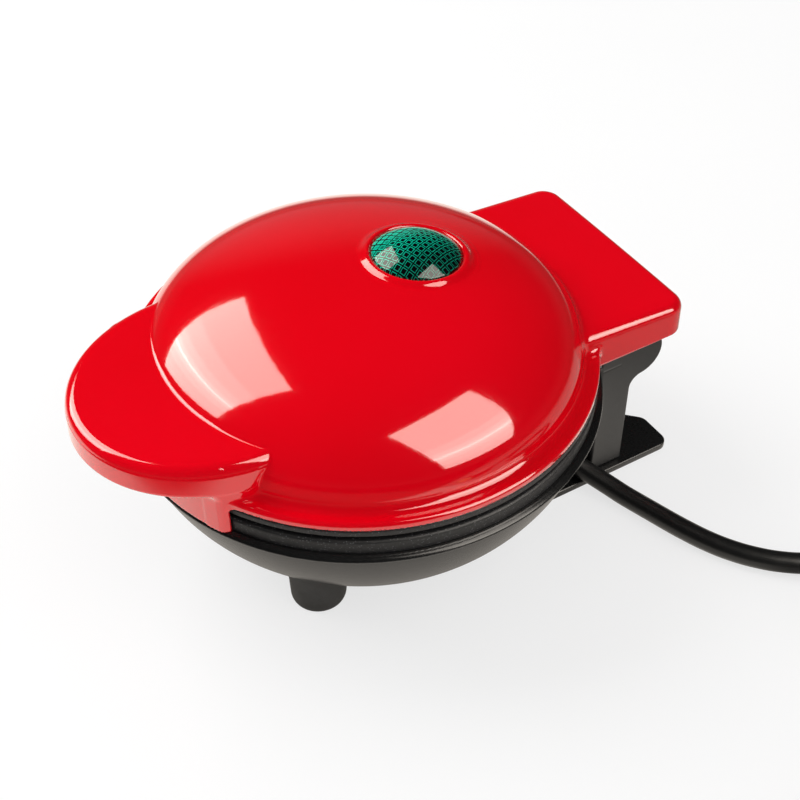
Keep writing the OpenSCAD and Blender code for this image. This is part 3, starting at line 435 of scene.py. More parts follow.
def coated_plate():
    """Dark non-stick coat with fine pale specks and a grain that catches light."""
    n = Nodes("coated_plate")
    n.set(IOR=1.5)
    speck = n.add("ShaderNodeTexVoronoi", Scale=1500.0, Randomness=1.0)
    n.join(n.place(), speck.inputs["Vector"])
    shade = n.ramp(speck.outputs["Distance"], (0.16, 0.16, 0.165, 1), (0.012, 0.012, 0.013, 1), (0.08, 0.24))
    n.join(shade, n.shader.inputs["Base Color"])
    n.join(n.between(n.noise(1100, 4, 0.7), 0.34, 0.6), n.shader.inputs["Roughness"])
    n.bump(n.noise(2100, 3, 0.7), 0.00012, 0.7)
    return n.material


def metal(name, colour, low, high, scale=900, stretch=None):
    """Metal whose roughness and bump follow a fine grain, drawn out along one way if asked."""
    n = Nodes(name)
    n.set(Metallic=1.0, Base_Color=(*colour, 1.0))
    noise = n.add("ShaderNodeTexNoise", Scale=float(scale), Detail=4.0)
    mapping = n.add("ShaderNodeMapping")
    mapping.inputs["Scale"].default_value = stretch or (1, 1, 1)
    n.join(n.place(), mapping.inputs["Vector"])
    n.join(mapping.outputs["Vector"], noise.inputs["Vector"])
    n.join(n.between(noise.outputs["Fac"], low, high), n.shader.inputs["Roughness"])
    n.bump(noise.outputs["Fac"], 0.00003, 0.5)
    return n.material


def braided_sleeve():
    n = Nodes("braided_sleeve")
    wave = n.add("ShaderNodeTexWave", Scale=900.0, Distortion=1.5)
    wave.bands_direction = "DIAGONAL"
    n.join(n.place(), wave.inputs["Vector"])
    n.join(n.ramp(wave.outputs["Fac"], (0.5, 0.43, 0.26, 1), (0.78, 0.72, 0.52, 1)),
           n.shader.inputs["Base Color"])
    n.set(Roughness=0.8)
    n.bump(wave.outputs["Fac"], 0.0001, 0.6)
    return n.material


def faceted_green():
    """Small square facets under a smooth gloss, in painted light: dark middles, bright glinting borders,
    brighter on one side.
    """
    n = Nodes("faceted_green")
    n.set(IOR=1.5, Roughness=0.4, Specular_IOR_Level=0.02, Coat_Weight=1.0, Coat_Roughness=0.04, Coat_IOR=1.5)
    turn = n.add("ShaderNodeMapping")
    turn.inputs["Rotation"].default_value = (0, 0, FACET_TURN)
    turn.inputs["Scale"].default_value = (1 / (FACET_PITCH * MM),) * 3
    n.join(n.place(), turn.inputs["Vector"])
    plan = n.split(turn.outputs["Vector"])
    sides = []
    for way in ("X", "Y"):
        part = n.math("FRACT", plan[way])
        sides.append(n.math("ABSOLUTE", n.math("SUBTRACT", part, 0.5)))
    square = n.math("MAXIMUM", *sides)
    # Painted light: a shaded and a lit copy of the facets' colours, each with painted glints on the borders.
    dark = n.steps(square, FACET_PAINTED_SHADE)
    lit = n.steps(square, FACET_PAINTED_LIT)
    place = n.split(n.place())
    blend = n.add("ShaderNodeMix", data_type="RGBA")
    # The lit copy is painted on the -X side, and painted shade dims the facets towards +X.
    n.join(fade(n.tree, place["X"], FACET_PAINTED_LIGHT_SIDE), blend.inputs[0])
    n.join(dark, blend.inputs[6])
    n.join(lit, blend.inputs[7])
    shaded = n.add("ShaderNodeVectorMath", operation="SCALE")
    n.join(blend.outputs[2], shaded.inputs[0])
    n.join(fade(n.tree, place["X"], FACET_PAINTED_DIM), shaded.inputs["Scale"])
    n.join(shaded.outputs["Vector"], n.shader.inputs["Base Color"])
    n.bump(square, 0.0003, 0.3)
    return n.material


def white_floor():
    """White paper. Its reflections are painted: lit round the object, painted shade under it and dark farther
    off.
    """
    n = Nodes("white_floor")
    n.join(n.ramp(n.noise(6, 2), grey(0.92), grey(0.95), (0.3, 0.7)), n.shader.inputs["Base Color"])
    n.set(Roughness=0.8)
    away = n.add("ShaderNodeVectorMath", operation="LENGTH")
    n.join(n.place(), away.inputs[0])
    along = []
    for way in (FLOOR_FRONT, FLOOR_HINGE):
        reach = n.add("ShaderNodeVectorMath", operation="DOT_PRODUCT")
        n.join(n.place(), reach.inputs[0])
        reach.inputs[1].default_value = way
        along.append(reach)
    # Painted reflection, seen only by glossy rays: painted shade under the object, lit round it, fading to
    # dark farther off.
    level = None
    for reach, limits in ((away, FLOOR_PAINTED_SHADE), (away, FLOOR_FAR), (along[0], FLOOR_FRONT_FADE),
                          (along[1], FLOOR_HINGE_FADE)):
        part = fade(n.tree, reach.outputs["Value"], limits)
        level = part if level is None else n.math("MULTIPLY", level, part)
    painted_reflection = n.add("ShaderNodeEmission")
    painted_reflection.inputs["Color"].default_value = WARM
    n.join(level, painted_reflection.inputs["Strength"])
    white = n.add("ShaderNodeEmission")
    path = n.add("ShaderNodeLightPath")
    plain = fade(n.tree, away.outputs["Value"], FLOOR_WHITE)
    seen = n.add("ShaderNodeMixShader")
    n.join(n.math("MULTIPLY", path.outputs["Is Camera Ray"], plain), seen.inputs["Fac"])
    n.join(n.shader.outputs["BSDF"], seen.inputs[1])
    n.join(white.outputs["Emission"], seen.inputs[2])
    mirrored = n.add("ShaderNodeMixShader")
    n.join(path.outputs["Is Glossy Ray"], mirrored.inputs["Fac"])
    n.join(seen.outputs["Shader"], mirrored.inputs[1])
    n.join(painted_reflection.outputs["Emission"], mirrored.inputs[2])
    n.join(mirrored.outputs["Shader"], n.output.inputs["Surface"])
    return n.material


LENS = faceted_green()
STRAP = mottled("strap_weave", (grey(0.008), grey(0.03)), (1500, 5, 0.7), 0.85,
                ((2600, 3, 0.7), (0.0002, 0.8)), (0.35, 0.65))
LAMP = mottled("glass_lamp", ((0.9, 0.42, 0.2, 1), (1.0, 0.55, 0.3, 1)), (200, 2), 0.08, None, (0.0, 1.0))
FLOOR = white_floor()
RED = red_gloss()
BLACK = black_gloss()
FOOT_PLATE_BLACK = black_satin("black_satin_plate")
CORD_BLACK = black_satin("cord_black", 0.26, 0.4, 0.006)
PLUG_BLACK = black_satin("plug_black", 0.3, 0.45, 0.008)
RUBBER = mottled("foot_rubber", (grey(0.018), grey(0.03)), (200, 4), ((700, 4, 0.6), (0.42, 0.6)),
                 ((1800, 3, 0.6), (0.00008, 0.6)))
COAT = coated_plate()
STEEL = metal("plated_steel", (0.62, 0.62, 0.62), 0.22, 0.38)
TUBE_STEEL = metal("element_tube", (0.3, 0.29, 0.28), 0.35, 0.55, 1200)
SHEET = metal("bright_sheet", (0.82, 0.82, 0.84), 0.15, 0.3, 500, (1, 8, 1))
BRASS = metal("bright_brass", (0.82, 0.64, 0.32), 0.15, 0.3, 900, (1, 6, 1))
CERAMIC = mottled("ceramic", ((0.78, 0.74, 0.64, 1), (0.88, 0.85, 0.77, 1)), (300, 4),
                  ((900, 4), (0.45, 0.65)), ((1500, 3), (0.00005, 0.5)))
SLEEVE = braided_sleeve()
LEAD = mottled("lead_insulation", ((0.72, 0.71, 0.68, 1), (0.82, 0.81, 0.78, 1)), (500, 2), 0.45,
               ((1500, 2), (0.00004, 0.4)), (0.0, 1.0))


# ---- Fields ----

def length(*parts):
    return np.sqrt(sum(p * p for p in parts))


def join(a, b, k):
    """Union of two fields with a fillet about k / 2 wide in their corner."""
    h = np.maximum(k - np.abs(a - b), 0.0) / k
    return np.minimum(a, b) - h * h * k * 0.25


def keep(a, b, k):
    """The part of field a that is inside b too, with the edge between them rounded."""
    return -join(-a, -b, k)


def round_corner(a, b, r):
    """The part inside both fields, with a true round of radius r where they meet at a right angle."""
    p, q = a + r, b + r
    return np.minimum(np.maximum(p, q), 0.0) + length(np.maximum(p, 0.0), np.maximum(q, 0.0)) - r


def superellipse(r, z, radius, height, power, base):
    """Dome of a power curve over a height, or its mirror if the height is negative."""
    u = np.maximum(r, 1e-3) / radius
    w = np.maximum((z - base) / height, 0.0)
    s = np.maximum((u ** power + w ** power), 1e-9) ** (1.0 / power)
    steep = length(u ** (power - 1) / radius, w ** (power - 1) / height)
    return (s - 1.0) / np.maximum(np.maximum(s, 0.3) ** (1.0 - power) * steep, 1e-4)


def ring_band(r, z, r0, r1, z0, z1, edge):
    """Ring of rectangular section with rounded edges."""
    return round_corner(np.abs(r - (r0 + r1) / 2) - (r1 - r0) / 2,
                        np.abs(z - (z0 + z1) / 2) - (z1 - z0) / 2, edge)


def slab(v, low, high):
    return np.abs(v - (low + high) / 2) - (high - low) / 2


def plan_box(x, y, half_w, y0, y1, corner):
    return length(np.maximum(np.abs(x) - half_w + corner, 0), np.maximum(slab(y, y0, y1) + corner, 0)) \
        + np.minimum(np.maximum(np.abs(x) - half_w, slab(y, y0, y1)) + corner, 0) - corner


def field_mesh(name, field, low, high, step):
    """Mesh of a field's surface: one vertex in each grid cell that it crosses, moved onto it."""
    axes = [np.arange(a, b + step, step) for a, b in zip(low, high)]
    counts = [len(a) for a in axes]
    values = np.empty(counts, np.float32)
    plan_x, plan_y = np.meshgrid(axes[0], axes[1], indexing="ij")
    for k, z in enumerate(axes[2]):
        values[:, :, k] = field(plan_x, plan_y, np.full_like(plan_x, z))
    inside = values < 0
    corner = [(i, j, k) for i in (0, 1) for j in (0, 1) for k in (0, 1)]
    cells = [c - 1 for c in counts]

    def at(grid, c):
        return grid[c[0]:c[0] + cells[0], c[1]:c[1] + cells[1], c[2]:c[2] + cells[2]]

    filled = sum(at(inside, c).astype(np.uint8) for c in corner)
    active = np.argwhere((filled > 0) & (filled < 8))
    index = np.full(cells, -1, np.int64)
    index[tuple(active.T)] = np.arange(len(active))
    total = np.zeros((len(active), 3))
    hits = np.zeros(len(active))
    for a in corner:
        for axis in range(3):
            if a[axis]:
                continue
            b = tuple(1 if n == axis else v for n, v in enumerate(a))
            fa = values[tuple((active + a).T)].astype(float)
            fb = values[tuple((active + b).T)].astype(float)
            cross = (fa < 0) != (fb < 0)
            t = np.where(cross, fa / np.where(cross, fa - fb, 1.0), 0.0)
            point = np.array(a, float)[None, :].repeat(len(active), 0)
            point[:, axis] += t
            total += np.where(cross[:, None], point, 0.0)
            hits += cross
    origin = np.array([a[0] for a in axes])
    points = origin + (active + total / hits[:, None]) * step

    quads = []
    for axis in range(3):
        u, v = [n for n in range(3) if n != axis]
        size = list(counts)
        size[axis] -= 1
        first = inside[tuple(slice(0, s) for s in size)]
        moved = [slice(0, s) for s in size]
        moved[axis] = slice(1, counts[axis])
        second = inside[tuple(moved)]
        edge = np.argwhere(first != second)
        edge = edge[(edge[:, u] > 0) & (edge[:, v] > 0) & (edge[:, u] < cells[u]) & (edge[:, v] < cells[v])]
        around = []
        for du, dv in ((-1, -1), (0, -1), (0, 0), (-1, 0)):
            cell = edge.copy()
            cell[:, u] += du
            cell[:, v] += dv
            around.append(index[tuple(cell.T)])
        quad = np.stack(around, 1)
        out = first[tuple(edge.T)]
        if axis == 1:
            out = ~out
        quad[~out] = quad[~out][:, ::-1]
        quads.append(quad)
    quads = np.concatenate(quads)

    def slope(p, h=0.04):
        g = np.empty_like(p)
        for axis in range(3):
            d = np.zeros(3)
            d[axis] = h
            g[:, axis] = (field(*(p + d).T) - field(*(p - d).T)) / (2 * h)
        return g

    def settle(p, times):
        for _ in range(times):
            g = slope(p)
            move = (field(*p.T) / np.maximum((g * g).sum(1), 0.05))[:, None] * g
            reach = np.maximum(np.abs(move).max(1) / (0.6 * step), 1.0)[:, None]
            p = p - move / reach
        return p

    points = settle(points, 3)
    for _ in range(2):
        mean = np.zeros_like(points)
        share = np.zeros(len(points))
        for a, b in ((0, 1), (1, 2), (2, 3), (3, 0)):
            np.add.at(mean, quads[:, a], points[quads[:, b]])
            np.add.at(mean, quads[:, b], points[quads[:, a]])
            np.add.at(share, quads[:, a], 1)
            np.add.at(share, quads[:, b], 1)
        mean /= np.maximum(share, 1)[:, None]
        g = slope(points)
        g /= np.maximum(np.linalg.norm(g, axis=1), 1e-6)[:, None]
        drift = mean - points
        drift -= (drift * g).sum(1)[:, None] * g
        points = settle(points + 0.5 * drift, 2)
    normals = slope(points, 0.1)
    normals /= np.maximum(np.linalg.norm(normals, axis=1), 1e-6)[:, None]
    points[:, 1] += AXIS_Y
    mesh = bpy.data.meshes.new(name)
    mesh.from_pydata((points * MM).tolist(), [], quads.tolist())
    mesh.polygons.foreach_set("use_smooth", [True] * len(mesh.polygons))
    mesh.normals_split_custom_set_from_vertices(normals.tolist())
    mesh.validate()
    return mesh


# ---- Lid ----

def dome_outer(r, z):
    dome = superellipse(r, z, DOME_R, DOME_RISE, DOME_POWER, FLANGE_Z)
    flange = round_corner(round_corner(r - RIM_R, z - FLANGE_Z, LIP_ROUND), RIM_Z - z, 0.3)
    return join(keep(dome, RIM_Z - z, 0.6), flange, DOME_FILLET)


def dome_inner(r, z):
    return superellipse(r, z, DOME_R - LID_T, DOME_RISE - LID_T, DOME_POWER, FLANGE_Z)


def handle_plan(x, y, inset):
    a, b = HANDLE_HALF_W - inset, HANDLE_LEN - inset
    dy = y - HANDLE_ROOT
    e = length(x / a, dy / b)
    steep = length(x / a ** 2, dy / b ** 2) / np.maximum(e, 0.2)
    return (e - 1.0) / np.maximum(steep, 1e-3)


def handle_field(x, y, z, r):
    side = handle_plan(x, y, 0.0) + HANDLE_DRAFT * np.maximum(z - HANDLE_UNDER, 0.0)
    outer = round_corner(round_corner(side, z - HANDLE_TOP, 2.6), HANDLE_UNDER - z, 0.7)
    inner = keep(handle_plan(x, y, LID_T + 0.3), z - HANDLE_TOP + LID_T, 1.5)
    shell = keep(outer, -inner, 0.5)
    skirt = np.maximum(ring_band(r, z, SKIRT_IN, SKIRT_OUT, SKIRT_Z, HANDLE_TOP - 1, 0.6), side + 0.9)
    below = np.maximum(np.minimum(np.maximum(SKIRT_IN - r, SKIRT_Z - z), FLANGE_Z - 1 - z), r - SKIRT_OUT)
    wall = round_corner(side, join(HANDLE_UNDER - z, below, 3.4), 0.7)
    wall = np.maximum(keep(wall, -handle_plan(x, y, LEG_T), 0.6), z - HANDLE_TOP + 3)
    return join(join(shell, skirt, 0.8), wall, 0.5)


def block_field(x, y, z, r):
    bow = (x / BLOCK_HALF_W) ** 2 * 0.3
    slope = (BLOCK_TOP_FRONT - BLOCK_TOP_BACK) / (BLOCK_BACK - BLOCK_FRONT)
    top = z - BLOCK_TOP_FRONT + slope * (y - BLOCK_FRONT)
    draft = 0.02 * (z - BLOCK_Z)
    side = plan_box(x, y + bow, BLOCK_HALF_W, BLOCK_FRONT - 10, BLOCK_BACK, BLOCK_CORNER) + draft
    outer = round_corner(round_corner(side, top, 2.8), BLOCK_Z - z, 0.6)
    inner = keep(side + LID_T - 0.2, top + LID_T - 0.2, 1.2)
    shell = keep(outer, -inner, 0.5)
    return keep(shell, -np.maximum(r - SKIRT_IN, z - RIM_Z), 0.6)


def ear_field(x, y, z):
    disc = length(y - HINGE_Y, z - HINGE_Z) - EAR_R
    arm = np.maximum(np.abs(y - HINGE_Y) - EAR_R, slab(z, HINGE_Z, RIM_Z + 4.5))
    web = round_corner(np.minimum(disc, arm), np.abs(np.abs(x) - EAR_X) - EAR_T / 2, 0.4)
    bore = length(y - HINGE_Y, z - HINGE_Z) - PIN_R - 0.06
    return np.maximum(web, -bore)


def lens_axis(x, y, z):
    """Distance from the lens's axis, and height above the bezel's foot along it."""
    dy, dz = y - LENS_Y, z - LENS_Z
    c, s = math.cos(LENS_TILT), math.sin(LENS_TILT)
    return length(x, dy * c - dz * s), dz * c + dy * s


def lid_field(x, y, z):
    r = length(x, y)
    lens_r, lens_h = lens_axis(x, y, z)
    low = np.clip((HANDLE_UNDER + 1 - z) / 4, 0.0, 1.0)
    shell = join(dome_outer(r, z), handle_field(x, y, z, r), TOP_FILLET + (LIP_FILLET - TOP_FILLET) * low)
    shell = join(shell, block_field(x, y, z, r), 1.8)
    fall = np.clip((lens_r - BEZEL_TOP_R) / (BEZEL_FOOT_R - BEZEL_TOP_R), 0.0, 1.0)
    bezel = (lens_h - BEZEL_LIP + BEZEL_FALL * fall * fall * (3 - 2 * fall)) * 0.8
    bezel = np.maximum(np.maximum(bezel, lens_r - BEZEL_FOOT_R), -4.0 - lens_h)
    shell = join(shell, bezel, 0.9)
    shell = keep(shell, -np.maximum(dome_inner(r, z), RIM_Z - 1 - z), 0.6)
    shell = keep(shell, -np.maximum(lens_r - LENS_R - 0.3, BEZEL_H - LENS_SEAT - lens_h), 0.9)
    shell = np.maximum(shell, LENS_R - 1.4 - lens_r)
    return join(shell, ear_field(x, y, z), 1.0)


def make_lid():
    mesh = field_mesh("lid_shell", lid_field, (-66, -84, 33), (66, 87, 82), LID_STEP)
    lid = add_object("lid_shell", mesh, "lid", RED)
    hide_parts("upper_housing")


# ---- Lathed and swept pieces ----

def lathe(name, profile, centre, axis="Z", segments=72, about=AXIS_Y):
    """Turns a closed profile of (radius, height) points, in millimetres, about an axis."""
    bm = bmesh.new()
    rings = []
    for r, h in profile:
        ring = []
        count = 1 if r < 1e-6 else segments
        for k in range(count):
            a = 2 * math.pi * k / segments
            u, v = r * math.cos(a), r * math.sin(a)
            if axis == "Z":
                point = (centre[0] + u, centre[1] + v + about, centre[2] + h)
            else:
                point = (centre[0] + h, centre[1] + u + about, centre[2] + v)
            ring.append(bm.verts.new(Vector(point) * MM))
        rings.append(ring)
    for a, b in zip(rings, rings[1:]):
        for k in range(segments):
            p, q = a[k % len(a)], a[(k + 1) % len(a)]
            s, t = b[(k + 1) % len(b)], b[k % len(b)]
            corners = [p]
            for v in (q, s, t):
                if v not in corners:
                    corners.append(v)
            if len(corners) > 2:
                bm.faces.new(corners)
    bmesh.ops.recalc_face_normals(bm, faces=bm.faces)
    return to_mesh(name, bm)


def to_mesh(name, bm, sharp=None):
    """Makes a mesh with smooth faces, and sharp edges above an angle in degrees if one is given."""
    mesh = bpy.data.meshes.new(name)
    bm.to_mesh(mesh)
    bm.free()
    for polygon in mesh.polygons:
        polygon.use_smooth = True
    if sharp is not None:
        mesh.set_sharp_from_angle(angle=math.radians(sharp))
    return mesh


def rounded(profile, radius, steps=4):
    """Rounds the inner corners of a profile of (radius, height) points."""
    out = [profile[0]]
    for a, b, c in zip(profile, profile[1:], profile[2:]):
        a, b, c = Vector(a), Vector(b), Vector(c)
        reach = min(radius, (a - b).length * 0.45, (c - b).length * 0.45)
        p, q = b + (a - b).normalized() * reach, b + (c - b).normalized() * reach
        for k in range(steps + 1):
            t = k / steps
            out.append(tuple(p * (1 - t) ** 2 + b * 2 * t * (1 - t) + q * t * t))
    out.append(profile[-1])
    return out


def loft(name, sections):
    """Skin over closed sections of equal length, capped at both ends."""
    bm = bmesh.new()
    rings = [[bm.verts.new(Vector(p) * MM) for p in section] for section in sections]
    count = len(rings[0])
    for a, b in zip(rings, rings[1:]):
        for k in range(count):
            bm.faces.new((a[k], a[(k + 1) % count], b[(k + 1) % count], b[k]))
    bm.faces.new(rings[0])
    bm.faces.new(rings[-1])
    bmesh.ops.recalc_face_normals(bm, faces=bm.faces)
    return bm


# ---- Cord ----

def ease(t):
    t = min(max(t, 0.0), 1.0)
    return t * t * (3 - 2 * t)


def coil_points():
    """Two turns side by side on the table and half a turn on top, clockwise from the -X side."""
    points = []
    for t in range(10, int(COIL_TURNS * 360), 10):
        radius = COIL_OUTER_R + (COIL_INNER_R - COIL_OUTER_R) * ease((t - 280) / 70) \
            + (COIL_TOP_R - COIL_INNER_R) * ease((t - 590) / 70)
        hump = 0.8 * ease((t - 590) / 70) * (1 - ease((t - 660) / 50))
        z = COIL_LOW_Z + (COIL_TOP_Z - COIL_LOW_Z) * ease((t - 590) / 70) + hump
        a = math.radians(180 - t)
        points.append((COIL_CENTRE[0] + radius * math.cos(a), COIL_CENTRE[1] + radius * math.sin(a), z))
    return points


def make_cord():
    points = CORD_ROUTE + coil_points() + CORD_TAIL
    curve = bpy.data.curves.new("supply_cord", "CURVE")
    curve.dimensions = "3D"
    curve.bevel_depth = CORD_R * MM
    curve.bevel_resolution = 5
    curve.use_fill_caps = True
    spline = curve.splines.new("BEZIER")
    spline.resolution_u = 6
    spline.bezier_points.add(len(points) - 1)
    for knot, point in zip(spline.bezier_points, points):
        knot.co = Vector(point) * MM
        knot.handle_left_type = knot.handle_right_type = "AUTO"
    cord = bpy.data.objects.new("supply_cord", curve)
    bpy.context.scene.collection.objects.link(cord)
    cord.data.materials.append(CORD_BLACK)
    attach(cord, "base")
    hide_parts("power_cord", "cord_coil", "cord_tail")
    return cord


def make_tie():
    """Strap round the coil: a flat band with rounded corners."""
    width = COIL_OUTER_R - COIL_INNER_R + 2 * CORD_R + 2 * TIE_T + 1
    height = COIL_TOP_Z + CORD_R + TIE_T + 0.1
    middle = COIL_TOP_R
    out_turn = Matrix.Rotation(math.radians(TIE_ANGLE), 4, "Z")
    bm = bmesh.new()
    shape = []
    for cx, cz, start in ((1, 1, 0), (-1, 1, 90), (-1, -1, 180), (1, -1, 270)):
        radius = 3.2 if cz > 0 else 1.6
        for k in range(7):
            a = math.radians(start + 15 * k)
            shape.append((cx * (width / 2 - radius) + radius * math.cos(a),
                          height / 2 + cz * (height / 2 - radius) + radius * math.sin(a)))
    count = len(shape)
    loops = []
    for inset in (0.0, TIE_T - 0.15):
        for side in (-1, 1):
            loop = []
            for x, z in shape:
                sx = x * (1 - inset / (width / 2))
                sz = height / 2 + (z - height / 2) * (1 - inset / (height / 2))
                point = out_turn @ Vector((middle + sx, side * TIE_W / 2, sz))
                loop.append(bm.verts.new((point + Vector((*COIL_CENTRE, 0))) * MM))
            loops.append(loop)
    for a, b in ((0, 1), (1, 3), (3, 2), (2, 0)):
        for k in range(count):
            bm.faces.new((loops[a][k], loops[a][(k + 1) % count], loops[b][(k + 1) % count], loops[b][k]))
    bmesh.ops.recalc_face_normals(bm, faces=bm.faces)
    tie = add_object("coil_strap", to_mesh("coil_strap", bm, 50), "base", STRAP)
    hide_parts("coil_tie")
    return tie


def plug_section(s):
    """Outline of the plug at a distance s from where the cord enters it."""
    swell = ease((s - 1.5) / (PLUG_NOSE_L + 1.5))
    end = 1.3 * (1 - math.sqrt(max(1 - (max(s - PLUG_L + 1.5, 0) / 1.5) ** 2, 0)))
    half_w = (CORD_R + 1.2) + (PLUG_W / 2 - CORD_R - 1.2) * swell - end
    half_h = (CORD_R + 1.2) + (PLUG_H / 2 - CORD_R - 1.2) * swell - end
    grip = 0.0
    if PLUG_GRIP[0] < s < PLUG_GRIP[1]:
        grip = 0.55 * (0.5 - 0.5 * math.cos(2 * math.pi * (s - PLUG_GRIP[0]) / PLUG_GRIP_PITCH))
    power = 2 + 2.6 * swell
    section = []
    for k in range(64):
        a = 2 * math.pi * k / 64
        c, t = math.cos(a), math.sin(a)
        x = math.copysign(abs(c) ** (2 / power), c) * half_w
        z = math.copysign(abs(t) ** (2 / power), t) * half_h
        x -= math.copysign(grip * abs(c) ** 2, x)
        section.append((PLUG_AT[0] + x, PLUG_AT[1] - s, PLUG_AT[2] + z))
    return section


def make_plug():
    steps = [0.0, 0.5, 1.0] + [1.5 + 0.5 * k for k in range(2 * int(PLUG_L) - 6)]
    steps += [PLUG_L - 1.5 + 1.5 * math.sin(math.radians(a)) for a in (0, 15, 30, 45, 60, 75, 90)]
    sections = [plug_section(s) for s in sorted(set(steps))]
    plug = add_object("plug_moulding", to_mesh("plug_moulding", loft("plug", sections), 40),
                      "base", PLUG_BLACK)
    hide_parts("plug_body")
    return plug


def make_strain_relief():
    """Tapered sleeve with moulded rings, and the neck that holds it in its boss."""
    profile = [(0.0, -RELIEF_NECK_L), (RELIEF_R - 1.25, -RELIEF_NECK_L), (RELIEF_R - 1.25, 0.05),
               (RELIEF_R, 0.05), (RELIEF_R, 2.4)]
    taper = (RELIEF_R - RELIEF_TIP_R) / RELIEF_L
    for k in range(RELIEF_RINGS):
        z = 2.8 + k * RELIEF_PITCH
        r = RELIEF_R - taper * z
        profile += [(r - 0.75, z), (r - 0.75, z + 0.9), (r - 0.05, z + 1.2),
                    (r - 0.1, z + RELIEF_PITCH - 0.3)]
    profile += [(RELIEF_TIP_R, RELIEF_L - 0.8), (RELIEF_TIP_R - 0.4, RELIEF_L), (CORD_R + 0.05, RELIEF_L),
                (CORD_R + 0.05, RELIEF_L - 1.5), (0.0, RELIEF_L - 1.5)]
    centre = (CORD_ROUTE[0][0] - RELIEF_L, CORD_ROUTE[0][1], CORD_ROUTE[0][2])
    mesh = lathe("strain_sleeve", rounded(profile, 0.3, 3), centre, "X", 64, 0.0)
    mesh.set_sharp_from_angle(angle=math.radians(60))
    relief = add_object("strain_sleeve", mesh, "base", CORD_BLACK)
    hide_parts("strain_relief")


# ---- Base ----

def tower_side(y, z, inset):
    """Side view of the tower: a wall with a round top about the hinge and a hollow behind it."""
    wall = np.maximum(slab(y, TOWER_FRONT + inset, FILLET_Y), slab(z, FOOT_PLATE_T, HINGE_Z))
    wall = np.maximum(wall, -np.maximum(TOWER_BACK - inset - y, z - FILLET_Z))
    wall = np.maximum(wall, FILLET_R + inset - length(y - FILLET_Y, z - FILLET_Z))
    top = np.maximum(slab(y, TOWER_FRONT + inset, HINGE_Y), slab(z, HINGE_Z - 1, HINGE_Z + KNUCKLE_R - inset))
    knuckle = length(y - HINGE_Y, z - HINGE_Z) - KNUCKLE_R + inset
    return np.minimum(np.minimum(wall, top), knuckle)


def bowl_curve(r, z, inset):
    return superellipse(r, z, BOWL_R - inset, inset - BOWL_DEPTH, BOWL_POWER, BOWL_RIM_Z)


def base_field(x, y, z):
    r = length(x, y)
    floor = BOWL_FLOOR - z
    outer = keep(keep(bowl_curve(r, z, 0.0), floor, 3.0), z - BOWL_RIM_Z, 0.3)
    bead = ring_band(r, z, -BEAD_R, BEAD_R, BOWL_RIM_Z - BEAD_H, BOWL_RIM_Z, 0.95)
    bowl = join(outer, bead, 1.6)
    tower = round_corner(tower_side(y, z, 0.0), np.abs(x) - TOWER_HALF_W, 0.9)
    tower = keep(tower, -np.maximum(r - TOWER_CLEAR_R, BOWL_RIM_Z - z), 0.5)
    inside = np.maximum(tower_side(y, z, BASE_T), np.abs(x) - TOWER_HALF_W + BASE_T)
    inside = np.maximum(inside, np.minimum(TOWER_CLEAR_R + BASE_T - r, z - BOWL_RIM_Z + BASE_T))
    tower = np.maximum(tower, -inside)
    boss = round_corner(slab(x, OUTLET_X - OUTLET_L, OUTLET_X),
                        slab(y, OUTLET_Y - OUTLET_H, TOWER_FRONT + 1), 0.8)
    boss = round_corner(boss, slab(z, FOOT_PLATE_T, OUTLET_Z + OUTLET_H), 0.8)
    shell = join(join(bowl, tower, 1.6), boss, 1.0)
    side = np.abs(x)
    hollow = keep(bowl_curve(r, z, BASE_T), BOWL_FLOOR + BASE_T - z, 2.0)
    shell = keep(shell, -hollow, 0.4)
    foot = length(side - FOOT_X, y - FOOT_Y)
    socket = np.maximum(np.maximum(foot - FOOT_R - BASE_T, z - FOOT_POCKET_Z - 2), outer)
    shell = np.minimum(shell, socket)
    post = np.maximum(length(side - BOWL_SCREW_X, y - BOWL_SCREW_Y) - BOWL_BOSS_R,
                      slab(z, FOOT_PLATE_T, BOWL_BOSS_TOP))
    shell = join(shell, post, 1.0)
    shell = keep(shell, -np.maximum(foot - FOOT_R - 0.2, z - FOOT_POCKET_Z), 0.4)
    slots = np.maximum(np.abs(side - EAR_X) - EAR_T / 2 - RUNNING,
                       np.maximum(HINGE_Y - EAR_R - RUNNING - y, HINGE_Z - EAR_SLOT_DEPTH - z))
    lead_slot = np.maximum(HINGE_Y - LEAD_SLOT_REACH - y, HINGE_Z - LEAD_SLOT_HALF_W - z)
    slots = np.minimum(slots, np.maximum(side - LEAD_SLOT_HALF_W, lead_slot))
    shell = keep(shell, -slots, 0.4)
    return np.maximum(shell, -np.maximum(length(y - OUTLET_Y, z - OUTLET_Z) - RELIEF_R + 1.15,
                                         slab(x, OUTLET_X - RELIEF_NECK_L, OUTLET_X + 1)))


def make_base():
    mesh = field_mesh("base_shell", base_field, (-67, -67, 1.0), (67, 81.5, 51), BASE_STEP)
    base = add_object("base_shell", mesh, "base", BLACK)
    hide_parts("lower_housing")


def plate_outline(x, y):
    y0, y1 = FOOT_PLATE_FRONT, FOOT_PLATE_BACK
    outer = plan_box(x, y, FOOT_PLATE_HALF_W, y0, y1, 3.3)
    outer = np.maximum(outer, y0 - y)
    slant = (np.abs(x) - NOTCH_HALF_W + (y1 - y)) / math.sqrt(2)
    notch = np.maximum(slant, y1 - NOTCH_DEPTH - y)
    return keep(outer, -notch, 1.2)


